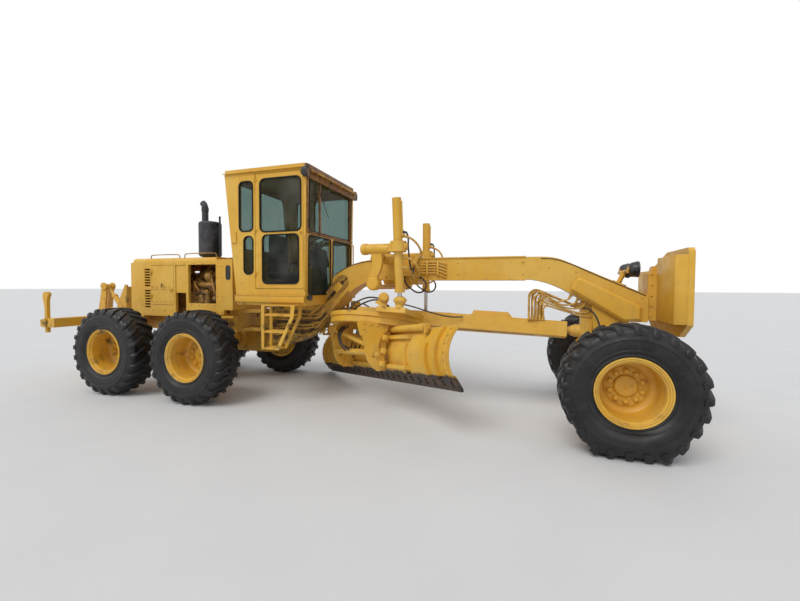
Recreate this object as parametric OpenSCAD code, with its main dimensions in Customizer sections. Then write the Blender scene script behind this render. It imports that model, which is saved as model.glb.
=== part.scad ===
// Articulated motor grader, parked with its blade turned and its right side raised.
// Millimetres, +X forward, +Y to the machine's left, +Z up, ground at z = 0.
// Lengths along X are first measured from the middle of the tandem, then moved to the plan centre.

/* [Machine] */
// middle of the tandem to the front axle
wheelbase = 6460; // [5800:10:6800]
// between the two wheels of one tandem
tandem_pitch = 1610; // [1500:10:1700]
// middle of a tyre to the centreline
half_track = 1147; // [1050:1:1250]
// rearmost point, the ripper's shank holders
rear_end = -2950; // [-3200:10:-2700]
// foremost point, the front push plate
front_end = 7150; // [7100:10:7400]

/* [Wheels] */
// tyre outside diameter, over the lugs
tyre_od = 1370; // [1300:5:1500]
// tyre section width
tyre_w = 445; // [400:5:520]
// rim flange outside diameter
flange_d = 711; // [680:1:740]
// rim width over the flanges
rim_w = 380; // [340:5:420]
// tread bars on each side of a tyre
lug_n = 24; // [18:1:28]
// width of a tread bar
lug_w = 58; // [40:1:70]
// height of a tread bar
lug_h = 28; // [15:1:35]
// slant of a tread bar across the tread
lug_turn = 28; // [0:1:40]

/* [Tandems] */
// chain case width
case_w = 200; // [160:5:230]
// inner face of a tyre to the case
case_gap = 15; // [10:1:40]
// rear axle height, and so every wheel's axle height
axle_z = 685; // [600:5:750]

/* [Front axle] */
// kingpin to the centreline
king_y = 820; // [780:5:840]
// lean pivot to the centreline
lean_y = 740; // [700:5:770]
// lean pivot height
lean_z = 500; // [440:5:560]
// lean bar above the lean pivot
lean_bar_h = 430; // [380:5:460]
// steering arm length, behind the kingpin
arm_len = 200; // [180:5:220]

/* [Frames] */
// articulation pin, ahead of the tandem's middle
hitch_x = 1150; // [1100:5:1250]
// front frame beam width
beam_w = 330; // [280:5:380]
// level part of the beam, underside
beam_z0 = 1830; // [1750:5:1900]
// level part of the beam, top
beam_z1 = 2130; // [2050:5:2200]

/* [Cab] */
// width at the sill
cab_w = 1560; // [1500:10:1700]
// floor height
cab_z0 = 1490; // [1450:5:1550]
// top of the roof
cab_z1 = 3480; // [3400:5:3520]

/* [Blade] */
// length of the mouldboard
blade_l = 4270; // [3650:10:4300]
// radius of the mouldboard's curve
blade_r = 413; // [400:1:500]
// turn of the circle in the parked pose
circle_turn = 46; // [0:1:60]
// roll of the drawbar in the parked pose, right side up
bar_roll = 13.5; // [0:0.5:20]
// pitch of the drawbar in the parked pose, rear end up
bar_pitch = 2.2; // [0:0.1:6]

/* [Hidden] */
$fn = 48;

mid_x = (front_end + rear_end) / 2;
yellow = [0.80, 0.52, 0.10];
black = [0.06, 0.06, 0.06];
steel = [0.55, 0.55, 0.53];
dark = [0.16, 0.13, 0.10];
glass = [0.55, 0.65, 0.65, 0.35];

// wheel rows: name, x, side (-1 is the right)
front_x = wheelbase;
tyre_r = tyre_od / 2;
case_y1 = half_track - tyre_w / 2 - case_gap;
case_y0 = case_y1 - case_w;
rim_disc = -150;

// drawbar: its ball, the circle's centre below it, all in the level pose
ball = [6050, 0, 1150];
circle_x = 3300;
ring_z0 = 960;
ring_z1 = 1050;
ring_r = 750;

// Helpers

module place() translate([-mid_x, 0, 0]) children();

// both sides of the machine
module sides() for (s = [-1, 1]) scale([1, s, 1]) children();

// a rod of diameter d between two points
module rod(a, b, d) {
    v = b - a;
    translate(a) rotate([0, acos(v[2] / norm(v)), atan2(v[1], v[0])])
        cylinder(d = d, h = norm(v));
}

// a cylinder along Y, centred at p
module y_cyl(p, d, l) translate(p) rotate([90, 0, 0]) cylinder(d = d, h = l, center = true);

// a cylinder along X, centred at p
module x_cyl(p, d, l) translate(p) rotate([0, 90, 0]) cylinder(d = d, h = l, center = true);

// a profile in X and Z made w wide in Y, centred at y
module slab(points, w, y = 0)
    translate([0, y + w / 2, 0]) rotate([90, 0, 0]) linear_extrude(w) polygon(points);

// a flat piece in X and Z made w wide in Y, centred at y
module flat(w, y = 0) translate([0, y + w / 2, 0]) rotate([90, 0, 0]) linear_extrude(w) children();

// a box given by its corners
module box(a, b) translate(a) cube(b - a);

// a rectangle from corner a to corner b with corners of radius r
module rounded(a, b, r) {
    for (x = [a[0] + r, b[0] - r], y = [a[1] + r, b[1] - r]) translate([x, y]) circle(r);
    translate([a[0] + r, a[1]]) square([b[0] - a[0] - 2 * r, b[1] - a[1]]);
    translate([a[0], a[1] + r]) square([b[0] - a[0], b[1] - a[1] - 2 * r]);
}

// points of a smooth bend from a to c that leaves and arrives towards b
function bend(a, b, c, n = 6) = [for (i = [0 : n]) let (t = i / n)
    (1 - t) * (1 - t) * a + 2 * t * (1 - t) * b + t * t * c];

// a bent pipe of diameter d in X and Z, from the +X side up, r to its middle line
module elbow(p, r, d, turn = 90) translate(p) rotate([90, 0, 0]) rotate_extrude(angle = turn)
    translate([r, 0]) circle(d = d);

module drawbar_pose() translate(ball) rotate([-bar_roll, bar_pitch, 0]) translate(-ball)
    children();

module circle_pose() drawbar_pose() translate([circle_x, 0, 0]) rotate(circle_turn) children();

// Wheels

// half of a tyre's section from the bead to the tread: radius, half width
tyre_half = [[400, 120], [320.4, 150], [320.4, 183.5], [356, 183.5],
    [tyre_r * 0.62, tyre_w / 2 - 8], [tyre_r * 0.72, tyre_w / 2], [tyre_r * 0.86, tyre_w / 2 - 7],
    [tyre_r - lug_h - 22, tyre_w / 2 - 28], [tyre_r - lug_h, tyre_w / 2 - 62]];

// one tread bar, from the middle of the tread over the shoulder
module lug() translate([0, 0, tyre_w / 4]) rotate([lug_turn, 0, 0]) translate([0, 0, -tyre_w / 4])
    rotate([90, 0, 0]) linear_extrude(lug_w, center = true) polygon([
        [tyre_r - lug_h - 25, 6], [tyre_r - 6, 6], [tyre_r - 6, tyre_w / 2 - 46],
        [tyre_r - 22, tyre_w / 2 - 20], [tyre_r - 70, tyre_w / 2 - 4],
        [tyre_r - 92, tyre_w / 2 - 16], [tyre_r - lug_h - 25, tyre_w / 2 - 72]]);

module tyre() rotate([90, 0, 0]) {
    rotate_extrude($fn = 72) polygon(concat(
        [for (p = tyre_half) [p[0], -p[1]]],
        [for (i = [len(tyre_half) - 1 : -1 : 0]) tyre_half[i]]));
    for (s = [-1, 1], i = [1 : lug_n]) scale([1, 1, s])
        rotate((i + s / 4) * 360 / lug_n) lug();
}

// rim about the Y axis: barrel, flanges, deep disc and hub cap
module rim() rotate([90, 0, 0]) {
    rotate_extrude($fn = 64) polygon([
        [285, -rim_w / 2 - 8], [flange_d / 2, -rim_w / 2 - 8], [flange_d / 2, -rim_w / 2 + 6],
        [320, -rim_w / 2 + 6], [320, rim_w / 2 - 6], [flange_d / 2, rim_w / 2 - 6],
        [flange_d / 2, rim_w / 2 + 8], [325, rim_w / 2 + 8], [300, 150],
        [296, rim_disc + 40], [250, rim_disc + 12], [0, rim_disc + 12],
        [0, rim_disc - 8], [270, rim_disc - 8]]);
    translate([0, 0, rim_disc + 4]) cylinder(d = 190, h = 38);
    for (a = [0 : 36 : 324]) rotate(a + 18) translate([140, 0, rim_disc + 4])
        cylinder(d = 44, h = 30, $fn = 6);
}

// x, side of each wheel: 1 rear, 2 tandem front, 3 front axle
module at_wheel(n, s)
    translate([n == 3 ? front_x : (n - 1.5) * tandem_pitch, s * half_track, axle_z])
        scale([1, -s, 1]) children();

module wheel_tyre(n, s) color(black) at_wheel(n, s) tyre();
module wheel_rim(n, s) color(yellow) at_wheel(n, s) rim();

// Rear frame

rail_y = 330;

// ripper cylinder's pin on the frame and its eye on the ripper's mast
rip_top = [-2075, 0, 1190];
rip_eye = [-2560, 0, 1700];

module rear_frame() color(yellow) {
    // two side rails with cross members
    sides() box([-1900, rail_y - 45, 960], [hitch_x - 250, rail_y + 45, 1230]);
    box([-1990, -560, 900], [-1900, 560, 1300]);
    box([500, -rail_y, 960], [640, rail_y, 1230]);
    // hitch head: upper and lower jaws with their pin
    box([hitch_x - 420, -rail_y, 960], [hitch_x - 250, rail_y, 1330]);
    for (z = [960, 1270]) hull() {
        box([hitch_x - 300, -260, z], [hitch_x - 250, 260, z + 60]);
        translate([hitch_x, 0, z]) cylinder(d = 240, h = 60, $fn = 32);
    }
    translate([hitch_x, 0, 950]) cylinder(d = 109.4, h = 390);
    // rear wall with the ripper's pivot, and the tower of two plates for its cylinder
    sides() flat(40, 300) polygon([[-1990, 560], [-1990, 1300], [-2090, 1300], [-2200, 900],
        [-2200, 560]]);
    box([-2010, -320, 560], [-1990, 320, 1300]);
    y_cyl([-2150, 0, 640], 60, 640);
    sides() {
        flat(30, 80) polygon([[-1990, 1050], [-1990, 1300], [-1945, 1300], [-1925, 1730],
            [-1975, 1740], [-2190, 1320], [-2190, 1130], [-2130, 1050]]);
        y_cyl([rip_top[0], 105, rip_top[2]], 110, 30);
    }
    box([-1975, -65, 1300], [-1945, 65, 1700]);
    y_cyl(rip_top, 50, 180);
    // seats of the axle housing under the rails
    sides() box([-200, rail_y - 60, 860], [200, rail_y + 60, 960]);
}

// Tandem

module tandem() color(yellow) {
    // axle housing with its round ends, and the seats under the frame's rails
    y_cyl([0, 0, 700], 300, 2 * case_y0 + 20);
    translate([0, 200, 0]) rotate([90, 0, 0]) linear_extrude(400) polygon([
        [-330, 560], [-250, 480], [250, 480], [330, 560], [330, 800], [270, 859], [-270, 859],
        [-330, 800]]);
    sides() box([-180, rail_y - 60, 700], [180, rail_y + 60, 859.7]);
    sides() {
        y_cyl([0, case_y0 - 60, 700], 460, 120);
        // chain case, round at both wheels
        difference() {
            union() {
                for (x = [-1, 1]) y_cyl([x * tandem_pitch / 2, (case_y0 + case_y1) / 2, axle_z],
                    470, case_w);
                box([-tandem_pitch / 2, case_y0, axle_z - 235],
                    [tandem_pitch / 2, case_y1, axle_z + 235]);
            }
            for (x = [-1, 1]) y_cyl([x * tandem_pitch / 2, case_y1 - 10, axle_z], 300, 24);
        }
        // wheel spindles
        for (x = [-1, 1]) y_cyl([x * tandem_pitch / 2, (case_y1 + half_track + rim_disc - 8.3) / 2 - 15,
            axle_z], 240, half_track + rim_disc - 8.3 - case_y1 + 30);
    }
}

// Engine and its covers

// six cylinders in line: block, heads, manifold, filters and pulleys, all resting on the rails
head_x = [-500 : 200 : 500];

module engine() color(dark) {
    box([-620, -250, 1230], [620, 250, 1700]);
    box([-640, -310, 1230], [640, 310, 1330]);
    for (x = head_x) {
        box([x - 90, -200, 1700], [x + 90, 160, 1830]);
        x_cyl([x, -90, 1850], 180, 150);
        x_cyl([x, 80, 1830], 120, 150);
        rod([x, -300, 1740], [x, -200, 1780], 62);
    }
    // exhaust manifold, its riser through the hood's top, and the turbocharger
    x_cyl([0, -320, 1740], 90, 1120);
    rod([20, -320, 1740], [20, 0, 2060], 100);
    translate([20, 0, 2000]) cylinder(d = 116, h = 119.7);
    x_cyl([350, -330, 1880], 190, 110);
    rod([350, -320, 1740], [350, -330, 1880], 70);
    rod([380, -330, 1890], [600, -60, 2040], 80);
    // filters, oil pump and the fuel pipes on the open side
    for (x = [190, 310]) translate([x, -370, 1380]) cylinder(d = 96, h = 250);
    box([150, -420, 1600], [350, -240, 1650]);
    for (x = [430 : 45 : 565]) rod([x, -300, 1520], [x - 20, -200, 1670], 22);
    x_cyl([495, -280, 1500], 130, 230);
    y_cyl([-250, 0, 1600], 200, 620);
}

hood_z1 = 2195;
hood_y = 550;
// the side doors swing out above the tyres
door_z0 = 1395;

// side door of the hood, its rear edge and bottom edge, and the louvred strip behind it
door_x0 = -735;
louvre_n = 14;

module hood() color(yellow) {
    x0 = -925;
    // top with round shoulders
    translate([x0, 0, 0]) rotate([90, 0, 90]) linear_extrude(650 - x0) polygon(concat(
        bend([hood_y, 2120], [hood_y, hood_z1 - 5], [hood_y - 90, hood_z1]),
        bend([90 - hood_y, hood_z1], [-hood_y, hood_z1 - 5], [-hood_y, 2120])));
    sides() {
        box([x0, hood_y - 20, 2070], [650, hood_y, 2120]);
        // pillar at the cab's end, posts of the open bay and the set-back panel
        box([650, hood_y - 60, 1250], [800, hood_y, 2120]);
        box([30, hood_y - 50, 1235], [80, hood_y, 2070]);
        box([-230, hood_y - 50, 1235], [-200, hood_y, 2070]);
        box([-210, hood_y - 44, 1600], [40, hood_y - 16, 2090]);
        // box under the open bay
        box([70, hood_y - 50, 1300], [655, hood_y, 1430]);
        // louvred strip
        difference() {
            box([x0, hood_y - 25, 1230], [door_x0 - 3, hood_y, 2075]);
            for (i = [0 : louvre_n]) if (i != 7)
                box([x0 + 30, hood_y - 30, 1340 + i * 46], [door_x0 - 28, hood_y + 10, 1368 + i * 46]);
        }
        for (z = [1500, 1900]) hood_hinge(z, -760);
        // fixed panel under the door, and the sill
        box([door_x0 - 10, hood_y - 25, 1230], [-220, hood_y, door_z0 - 5]);
        box([x0, hood_y - 60, 1200], [980, hood_y, 1235]);
    }
    // rear panel beside the cab and cross members on the rails
    box([800, -hood_y, 1330], [980, hood_y, 2120]);
    box([650, -hood_y, 2120], [980, hood_y, 2150]);
    box([650, -hood_y, 1230], [729, hood_y, 1250]);
    box([-900, -hood_y + 30, 1230], [-700, hood_y - 30, 1250]);
}

// one half of a hood door's hinge, from z to z + 40, its leaf reaching to x
module hood_hinge(z, x) {
    translate([door_x0 - 1.5, hood_y + 12, z]) cylinder(d = 22, h = 40);
    box([min(x, door_x0 - 1.5), hood_y, z], [max(x, door_x0 - 1.5), hood_y + 8, z + 40]);
}

// radiator housing: posts, top, bottom bar, the rear grille's slats and the core
module radiator_guard() color(yellow) {
    sides() box([-1210, hood_y - 70, 1000], [-925, hood_y, 2120]);
    box([-1210, -hood_y, 2100], [-925, hood_y, 2120]);
    translate([-1150, 0, 0]) rotate([90, 0, 90]) linear_extrude(225) polygon(concat(
        bend([hood_y, 2120], [hood_y, hood_z1 - 5], [hood_y - 90, hood_z1]),
        bend([90 - hood_y, hood_z1], [-hood_y, hood_z1 - 5], [-hood_y, 2120])));
    flat(2 * hood_y - 180) polygon([[-1210, 2119], [-1150, hood_z1], [-1149, 2119]]);
    box([-1210, -hood_y, 1230], [-925, hood_y, 1290]);
    for (z = [1320 : 50 : 2070]) box([-1195, -hood_y + 60, z], [-1150, hood_y - 60, z + 12]);
    for (y = [-160, 160]) box([-1200, y - 15, 1280], [-1150, y + 15, 2110]);
    box([-1100, -hood_y + 60, 1280], [-1040, hood_y - 60, 2110]);
}

module engine_door(s) color(yellow) scale([1, s, 1]) {
    box([door_x0, hood_y - 25, door_z0], [-236, hood_y, 2065]);
    box([door_x0 + 60, hood_y - 35, door_z0 + 60], [-296, hood_y - 20, 2005]);
    y_cyl([-290, hood_y + 8, 1650], 60, 20);
    for (z = [1500, 1900]) hood_hinge(z + 40.3, -700);
}

// muffler, its outlet with a bend to the rear, and the breather pipe in front
stack_x = -90;

module exhaust() color(black) {
    z0 = hood_z1 + 0.3;
    translate([20, 0, z0]) cylinder(d = 240, h = 60);
    translate([20, 0, 0]) rotate_extrude() polygon(concat(
        [[0, z0 + 40]], bend([120, z0 + 40], [190, z0 + 40], [190, z0 + 100]),
        bend([190, 2820], [190, 2865], [130, 2865]), [[0, 2865]]));
    translate([stack_x, 0, 2840]) cylinder(d = 110, h = 270);
    translate([stack_x, 0, 3060]) cylinder(d = 122, h = 65);
    elbow([stack_x - 130, 0, 3110], 130, 110, 52);
    translate([235, 0, z0]) cylinder(d = 34, h = 760);
    box([180, -20, 2600], [235, 20, 2640]);
}

// Ripper

rip_pivot = [-2150, 0, 640];

module ripper() color(yellow) {
    // arms from the pivot to the cross beam
    sides() difference() {
        flat(50, 230) polygon([[-2200, 580], [-2090, 580], [-2090, 700], [-2570, 1120], [-2740, 1120],
            [-2740, 960]]);
        y_cyl([-2150, 230, 640], 60.2, 60);
    }
    box([-2770, -950, 960], [-2570, 950, 1120]);
    // shank holders; the one shank is parked, turned up, in the right end one
    for (y = [-900, -450, 0, 450, 900]) translate([0, y, 0]) difference() {
        flat(140) polygon([[-2770, 960], [-2770, 1120], [-2800, 1120], [-2910, 1090], [-2910, 990],
            [-2880, 960]]);
        box([-2862, -27, 900], [-2798, 27, 1200]);
    }
    flat(54, -900) polygon(concat([[-2862, 860], [-2798, 860], [-2798, 1300]],
        bend([-2798, 1400], [-2798, 1480], [-2750, 1540]), [[-2755, 1570], [-2800, 1600]],
        bend([-2870, 1590], [-2925, 1560], [-2900, 1470]), [[-2862, 1300]]));
    y_cyl([-2830, -900, 1040], 36, 170);
    // mast of two plates for the cylinder
    sides() {
        flat(30, 62.5) polygon([[-2750, 1120], [-2570, 1120], [-2495, 1680], [-2495, 1720],
            [-2620, 1740], [-2630, 1690]]);
        y_cyl([rip_eye[0], 85, rip_eye[2]], 150, 26);
    }
}

module ripper_barrel() color(yellow) {
    d = rip_eye - rip_top;
    u = d / norm(d);
    difference() {
        union() {
            rod(rip_top + 45 * u, rip_top + 440 * u, 96);
            rod(rip_top + 410 * u, rip_top + 450 * u, 108);
            y_cyl(rip_top, 96, 100);
        }
        y_cyl(rip_top, 50.2, 200);
        rod(rip_top + 60 * u, rip_top + 600 * u, 57);
    }
}

module ripper_rod() color(yellow) {
    d = rip_eye - rip_top;
    u = d / norm(d);
    rod(rip_top + 75 * u, rip_eye - 30 * u, 56);
    y_cyl(rip_eye, 96, 90);
}

// Front frame

// ends of the nose's straight top edge
nose_low = [6870, 1630];
nose_high = [5900, 2078];

module front_frame() color(yellow) {
    difference() {
        union() {
            // gooseneck, level beam and sloped nose as one profile
            flat(beam_w) polygon(concat(
                [[1380, 1265], [1380, 760]],
                bend([1700, 765], [2050, 790], [2470, 1240]),
                bend([2750, 1530], [3020, beam_z0], [3400, beam_z0]),
                bend([5430, beam_z0], [5680, beam_z0], [5980, 1655]),
                [[6575, 1300], [6870, 1300], nose_low],
                bend(nose_high, [5780, beam_z1], [5600, beam_z1]),
                bend([3330, beam_z1], [2900, beam_z1 + 10], [2560, 1860]),
                [[2530, 1440], [1600, 1440]]));
            // hitch tongue between the rear frame's jaws
            hull() {
                box([1380, -250, 1025], [1440, 250, 1265]);
                translate([hitch_x, 0, 1025]) cylinder(d = 230, h = 240, $fn = 32);
            }
            // covers on the nose
            sides() flat(40, beam_w / 2 + 15) polygon([[5990, 1690], [6060, 1840], [6110, 1835],
                [6780, 1490], [6780, 1330], [6600, 1315]]);
        }
        translate([hitch_x, 0, 900]) cylinder(d = 110.1, h = 500);
        // long round-ended recesses beside the cab that the hoses run through
        sides() flat(60, beam_w / 2) translate([2640, 1690]) rotate(48)
            rounded([-190, -110], [240, 110], 109);
    }
    // flanges that stand out along the beam's top and bottom
    for (z = [beam_z0 - 12, beam_z1 - 4]) box([3420, -beam_w / 2 - 14, z], [5430, beam_w / 2 + 14, z + 16]);
    box([1380, -200, 760], [1440, 200, 1265]);
    // bolster down to the front axle, and its pin
    flat(beam_w - 40) polygon([[6240, 1540], [front_x - 180, 1000], [front_x + 180, 1000],
        [6680, 1400]]);
    for (x = [-138, 138]) box([front_x + x - 22, -120, 600], [front_x + x + 22, 120, 1010]);
    x_cyl([front_x, 0, 710], 90, 330);
    // cup of the drawbar's ball
    difference() {
        union() {
            flat(180) polygon([[6130, 1600], [6260, 1520], [6260, 1040], [6130, 1040]]);
            x_cyl([6100, 0, 1150], 170, 90);
        }
        translate(ball) sphere(d = 151);
    }
}

// Cab

cab_x0 = 1050;
cab_x1 = 2470;

// outer face of the steps' side plates
step_y = cab_w / 2 + 6;

module cab_base() color(yellow) {
    // floor tray on the neck
    box([cab_x0 + 210, -cab_w / 2, cab_z0 - 50], [cab_x1 - 25, cab_w / 2, cab_z0]);
    // brackets from the neck
    sides() flat(20, beam_w / 2 + 10) polygon([[1500, 1440], [2400, 1440], [2300, 1340],
        [1600, 1340]]);
    // steps between two side plates: height, first and last x
    sides() {
        for (t = [[1310, 1890, 2330], [1070, 1885, 2220], [830, 1880, 2110]])
            box([t[1], step_y, t[0] - 12], [t[2], step_y + 190, t[0] + 12]);
        for (y = [step_y, step_y + 190]) {
            flat(12, y) polygon([[1850, 1440], [1905, 1440], [1895, 815], [1850, 815]]);
            flat(12, y) polygon([[2340, 1440], [2400, 1440], [2380, 1280], [2140, 815], [2090, 815],
                [2325, 1280]]);
        }
        box([1850, step_y - 30, 1440], [2400, step_y + 196, 1455]);
    }
}

// side outline of the cab in X and Z
function cab_side(e = 0) = [[cab_x0 + 210 + e, cab_z0], [cab_x1 - 25 - e, cab_z0],
    [cab_x1 - e, cab_z1 - 80], [cab_x0 + e, cab_z1 - 80]];

hinge_p = [1603, cab_w / 2 + 11.5];

// one half of a door hinge: a barrel from z to z + 40
module hinge_half(z, x) {
    translate([hinge_p[0], hinge_p[1], z]) cylinder(d = 22, h = 40);
    box([min(x, hinge_p[0]), cab_w / 2, z], [max(x, hinge_p[0]), cab_w / 2 + 8, z + 40]);
}

module cab_frame() color(yellow) {
    cab_shell();
    sides() for (z = [1860, 2495, 3300]) hinge_half(z, 1570);
    // visor over the windscreen, and the mirror's bracket behind the door
    flat(cab_w - 120) polygon([[cab_x1 - 3, cab_z1 - 82], [cab_x1 + 110, cab_z1 - 130],
        [cab_x1 + 104, cab_z1 - 144], [cab_x1 - 4, cab_z1 - 120]]);
    sides() box([1180, cab_w / 2 - 2, 2370], [1265, cab_w / 2 + 16, 2530]);
}

// windows in the cab's side: first and last x, bottom and top z, corner radius
side_windows = [[1320, 1560, 2540, 3275, 70], [1400, 1560, 1900, 2460, 70]];
door_windows = [[1690, 2380, 2520, 3290, 80], [1730, 2340, 1760, 2470, 70]];
// windows in its front and rear: first and last y, bottom and top z, corner radius
front_windows = [[-700, 700, 2520, 3340, 60], [-700, -40, 1600, 2460, 50], [40, 700, 1600, 2460, 50]];
rear_windows = [[-700, 700, 2300, 3330, 70]];

// window shapes of a table, w thick, in a side wall centred at y or in an end wall centred at x
module side_panes(table, w, y) flat(w, y) for (t = table) rounded([t[0], t[2]], [t[1], t[3]], t[4]);
module end_panes(table, w, x) translate([x - w / 2, 0, 0]) rotate([90, 0, 90]) linear_extrude(w)
    for (t = table) rounded([t[0], t[2]], [t[1], t[3]], t[4]);

module cab_shell() difference() {
    flat(cab_w) polygon(cab_side());
    flat(cab_w - 90) polygon(cab_side(45));
    // door openings
    box([1600, -1000, 1680], [2420, 1000, 3375]);
    sides() side_panes(side_windows, 200, cab_w / 2);
    end_panes(front_windows, 300, cab_x1 - 20);
    end_panes(rear_windows, 500, cab_x0 + 150);
    // open top and floor
    translate([0, 0, cab_z1 - 200]) box([cab_x0 + 60, -cab_w / 2 + 60, 0],
        [cab_x1 - 60, cab_w / 2 - 60, 300]);
    box([cab_x0 + 300, -cab_w / 2 + 60, cab_z0 - 10], [cab_x1 - 80, cab_w / 2 - 60, cab_z0 + 200]);
}

module cab_roof() color(yellow) {
    translate([0, 0, cab_z1 - 80]) linear_extrude(58)
        rounded([cab_x0 - 10, -cab_w / 2 - 20], [cab_x1 + 20, cab_w / 2 + 20], 70);
    translate([0, 0, cab_z1 - 23]) linear_extrude(23)
        rounded([cab_x0 + 50, -cab_w / 2 + 40], [cab_x1 - 40, cab_w / 2 - 40], 110);
}

module cab_glass() color(glass) {
    sides() side_panes(side_windows, 6, cab_w / 2 - 20);
    end_panes([front_windows[0]], 6, cab_x1 - 33);
    end_panes([front_windows[1], front_windows[2]], 6, cab_x1 - 43);
    intersection() {
        end_panes(rear_windows, 500, cab_x0 + 150);
        flat(cab_w) polygon([cab_side(20)[0], cab_side(26)[0], cab_side(26)[3], cab_side(20)[3]]);
    }
}

module cab_door(s) color(yellow) scale([1, s, 1]) {
    difference() {
        flat(40, cab_w / 2 - 20) rounded([1606, 1686], [2414, 3369], 22);
        side_panes(door_windows, 100, cab_w / 2);
    }
    for (z = [1860, 2495, 3300]) hinge_half(z + 40.3 - (z > 3000 ? 80.6 : 0), 1640);
    // handle
    flat(14, cab_w / 2 + 22) rounded([2350, 2486], [2395, 2506], 9);
    y_cyl([2384, cab_w / 2 + 8, 2496], 16, 20);
}

module door_glass(s) color(glass) scale([1, s, 1]) side_panes(door_windows, 6, cab_w / 2 - 20);

module seat() color(black) {
    box([1500, -180, cab_z0], [1700, 180, cab_z0 + 350]);
    flat(520) rounded([1420, cab_z0 + 350], [1900, cab_z0 + 470], 50);
    flat(480) rounded([1400, cab_z0 + 440], [1510, cab_z0 + 1080], 50);
    sides() flat(70, 280) rounded([1450, cab_z0 + 590], [1800, cab_z0 + 650], 28);
    sides() box([1450, 225, cab_z0 + 590], [1500, 250, cab_z0 + 640]);
}

// steering column and wheel, with the levers at both sides
module console() color(dark) {
    flat(240) polygon([[2130, cab_z0], [2330, cab_z0], [2290, cab_z0 + 820], [2190, cab_z0 + 860]]);
    rod([2250, 0, cab_z0 + 800], [2190, 0, cab_z0 + 910], 60);
    translate([2190, 0, cab_z0 + 910]) rotate([0, -40, 0]) {
        rotate_extrude() translate([190, 0]) circle(d = 28);
        for (a = [30, 150, 270]) rotate(a) box([0, -12, -8], [186, 12, 8]);
    }
    for (s = [-1, 1]) {
        box([2170, s * 230 - 80, cab_z0 + 560], [2320, s * 230 + 80, cab_z0 + 640]);
        for (i = [0 : 4]) rod([2230, s * 230 + (i - 2) * 32, cab_z0 + 620],
            [2200, s * 230 + (i - 2) * 32, cab_z0 + 800], 14);
        box([2200, min(s * 100, s * 160), cab_z0 + 570], [2300, max(s * 100, s * 160), cab_z0 + 630]);
    }
}

// lamp bowl at p, opening forward
module lamp(p) translate(p) rotate([0, 90, 0]) rotate_extrude() polygon(concat([[0, -70]],
    bend([30, -70], [84, -60], [92, 20]), [[97, 22], [97, 46], [86, 46], [80, 34], [0, 34]]));

// bracket's foot on the nose
lamp_x = 6570;
nose_slope = (nose_high[1] - nose_low[1]) / (nose_low[0] - nose_high[0]);

module lamps() color(black) {
    translate([lamp_x, 0, nose_low[1] + (nose_low[0] - lamp_x) * nose_slope + 0.3])
        rotate([0, atan(nose_slope), 0]) box([-80, -60, 0], [80, 60, 20]);
    rod([lamp_x, 0, 1780], [lamp_x + 60, 0, 1925], 60);
    y_cyl([lamp_x + 60, 0, 1925], 50, 500);
    for (y = [-230, 230]) lamp([lamp_x + 120, y, 1950]);
    // horn
    x_cyl([lamp_x + 110, -60, 1890], 60, 150);
}

// hoses from the block under the nose back and down to the drawbar
hose_n = 5;
hose_d = 28;
hose_turn = 90;

module hoses() color(black) {
    box([6060, -90, 1440], [6130, 90, 1520]);
    for (i = [0 : hose_n - 1]) let (x = 5480 + i * 42, y = -90 + i * 40, z = 1690 - i * 20,
        c = [x + hose_turn, y, z - hose_turn])
        hose(concat([[6065, y * 0.8, 1480]], [for (a = [70 : 22 : 180])
            c + hose_turn * [cos(a), 0, sin(a)]], [[x, y, posed([x, y, 1250])[2] + 10]]), hose_d);
}

// a flexible pipe of diameter d through points that lie near one X and Z plane
module hose(path, d, sides = 10) {
    last = len(path) - 1;
    points = [for (i = [0 : last]) let (t = path[min(i + 1, last)] - path[max(i - 1, 0)],
        n = [-t[2], 0, t[0]] / norm([t[0], t[2]]))
        for (k = [0 : sides - 1]) let (a = k * 360 / sides)
            path[i] + d / 2 * (cos(a) * n + [0, sin(a), 0])];
    polyhedron(points, concat([[for (k = [sides - 1 : -1 : 0]) k]],
        [for (i = [0 : last - 1], k = [0 : sides - 1], half = [0, 1]) let (a = i * sides + k,
            b = i * sides + (k + 1) % sides) half == 0 ? [a, b, a + sides] : [b, b + sides, a + sides]],
        [[for (k = [0 : sides - 1]) last * sides + k]]));
}

module push_plate() color(yellow) {
    // plate with a sloped top on the left, and the channel with its ribs behind it
    translate([front_end - 60, 0, 0]) rotate([90, 0, 90]) linear_extrude(60) polygon([
        [-730, 1320], [-500, 1170], [500, 1170], [730, 1320], [730, 1950], [660, 2020],
        [430, 2020], [-30, 2160], [-690, 2160], [-730, 2120]]);
    box([6870, -120, 1320], [front_end - 60, 120, 1900]);
    sides() {
        box([6970, 95, 1300], [front_end - 60, 120, 2000]);
        for (z = [1360, 1850]) box([6990, 110, z], [front_end - 60, 560, z + 30]);
    }
}

// Blade carrier on the front frame

lift_x = 3830;
lift_y = 750;
lift_z = 2250;

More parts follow.
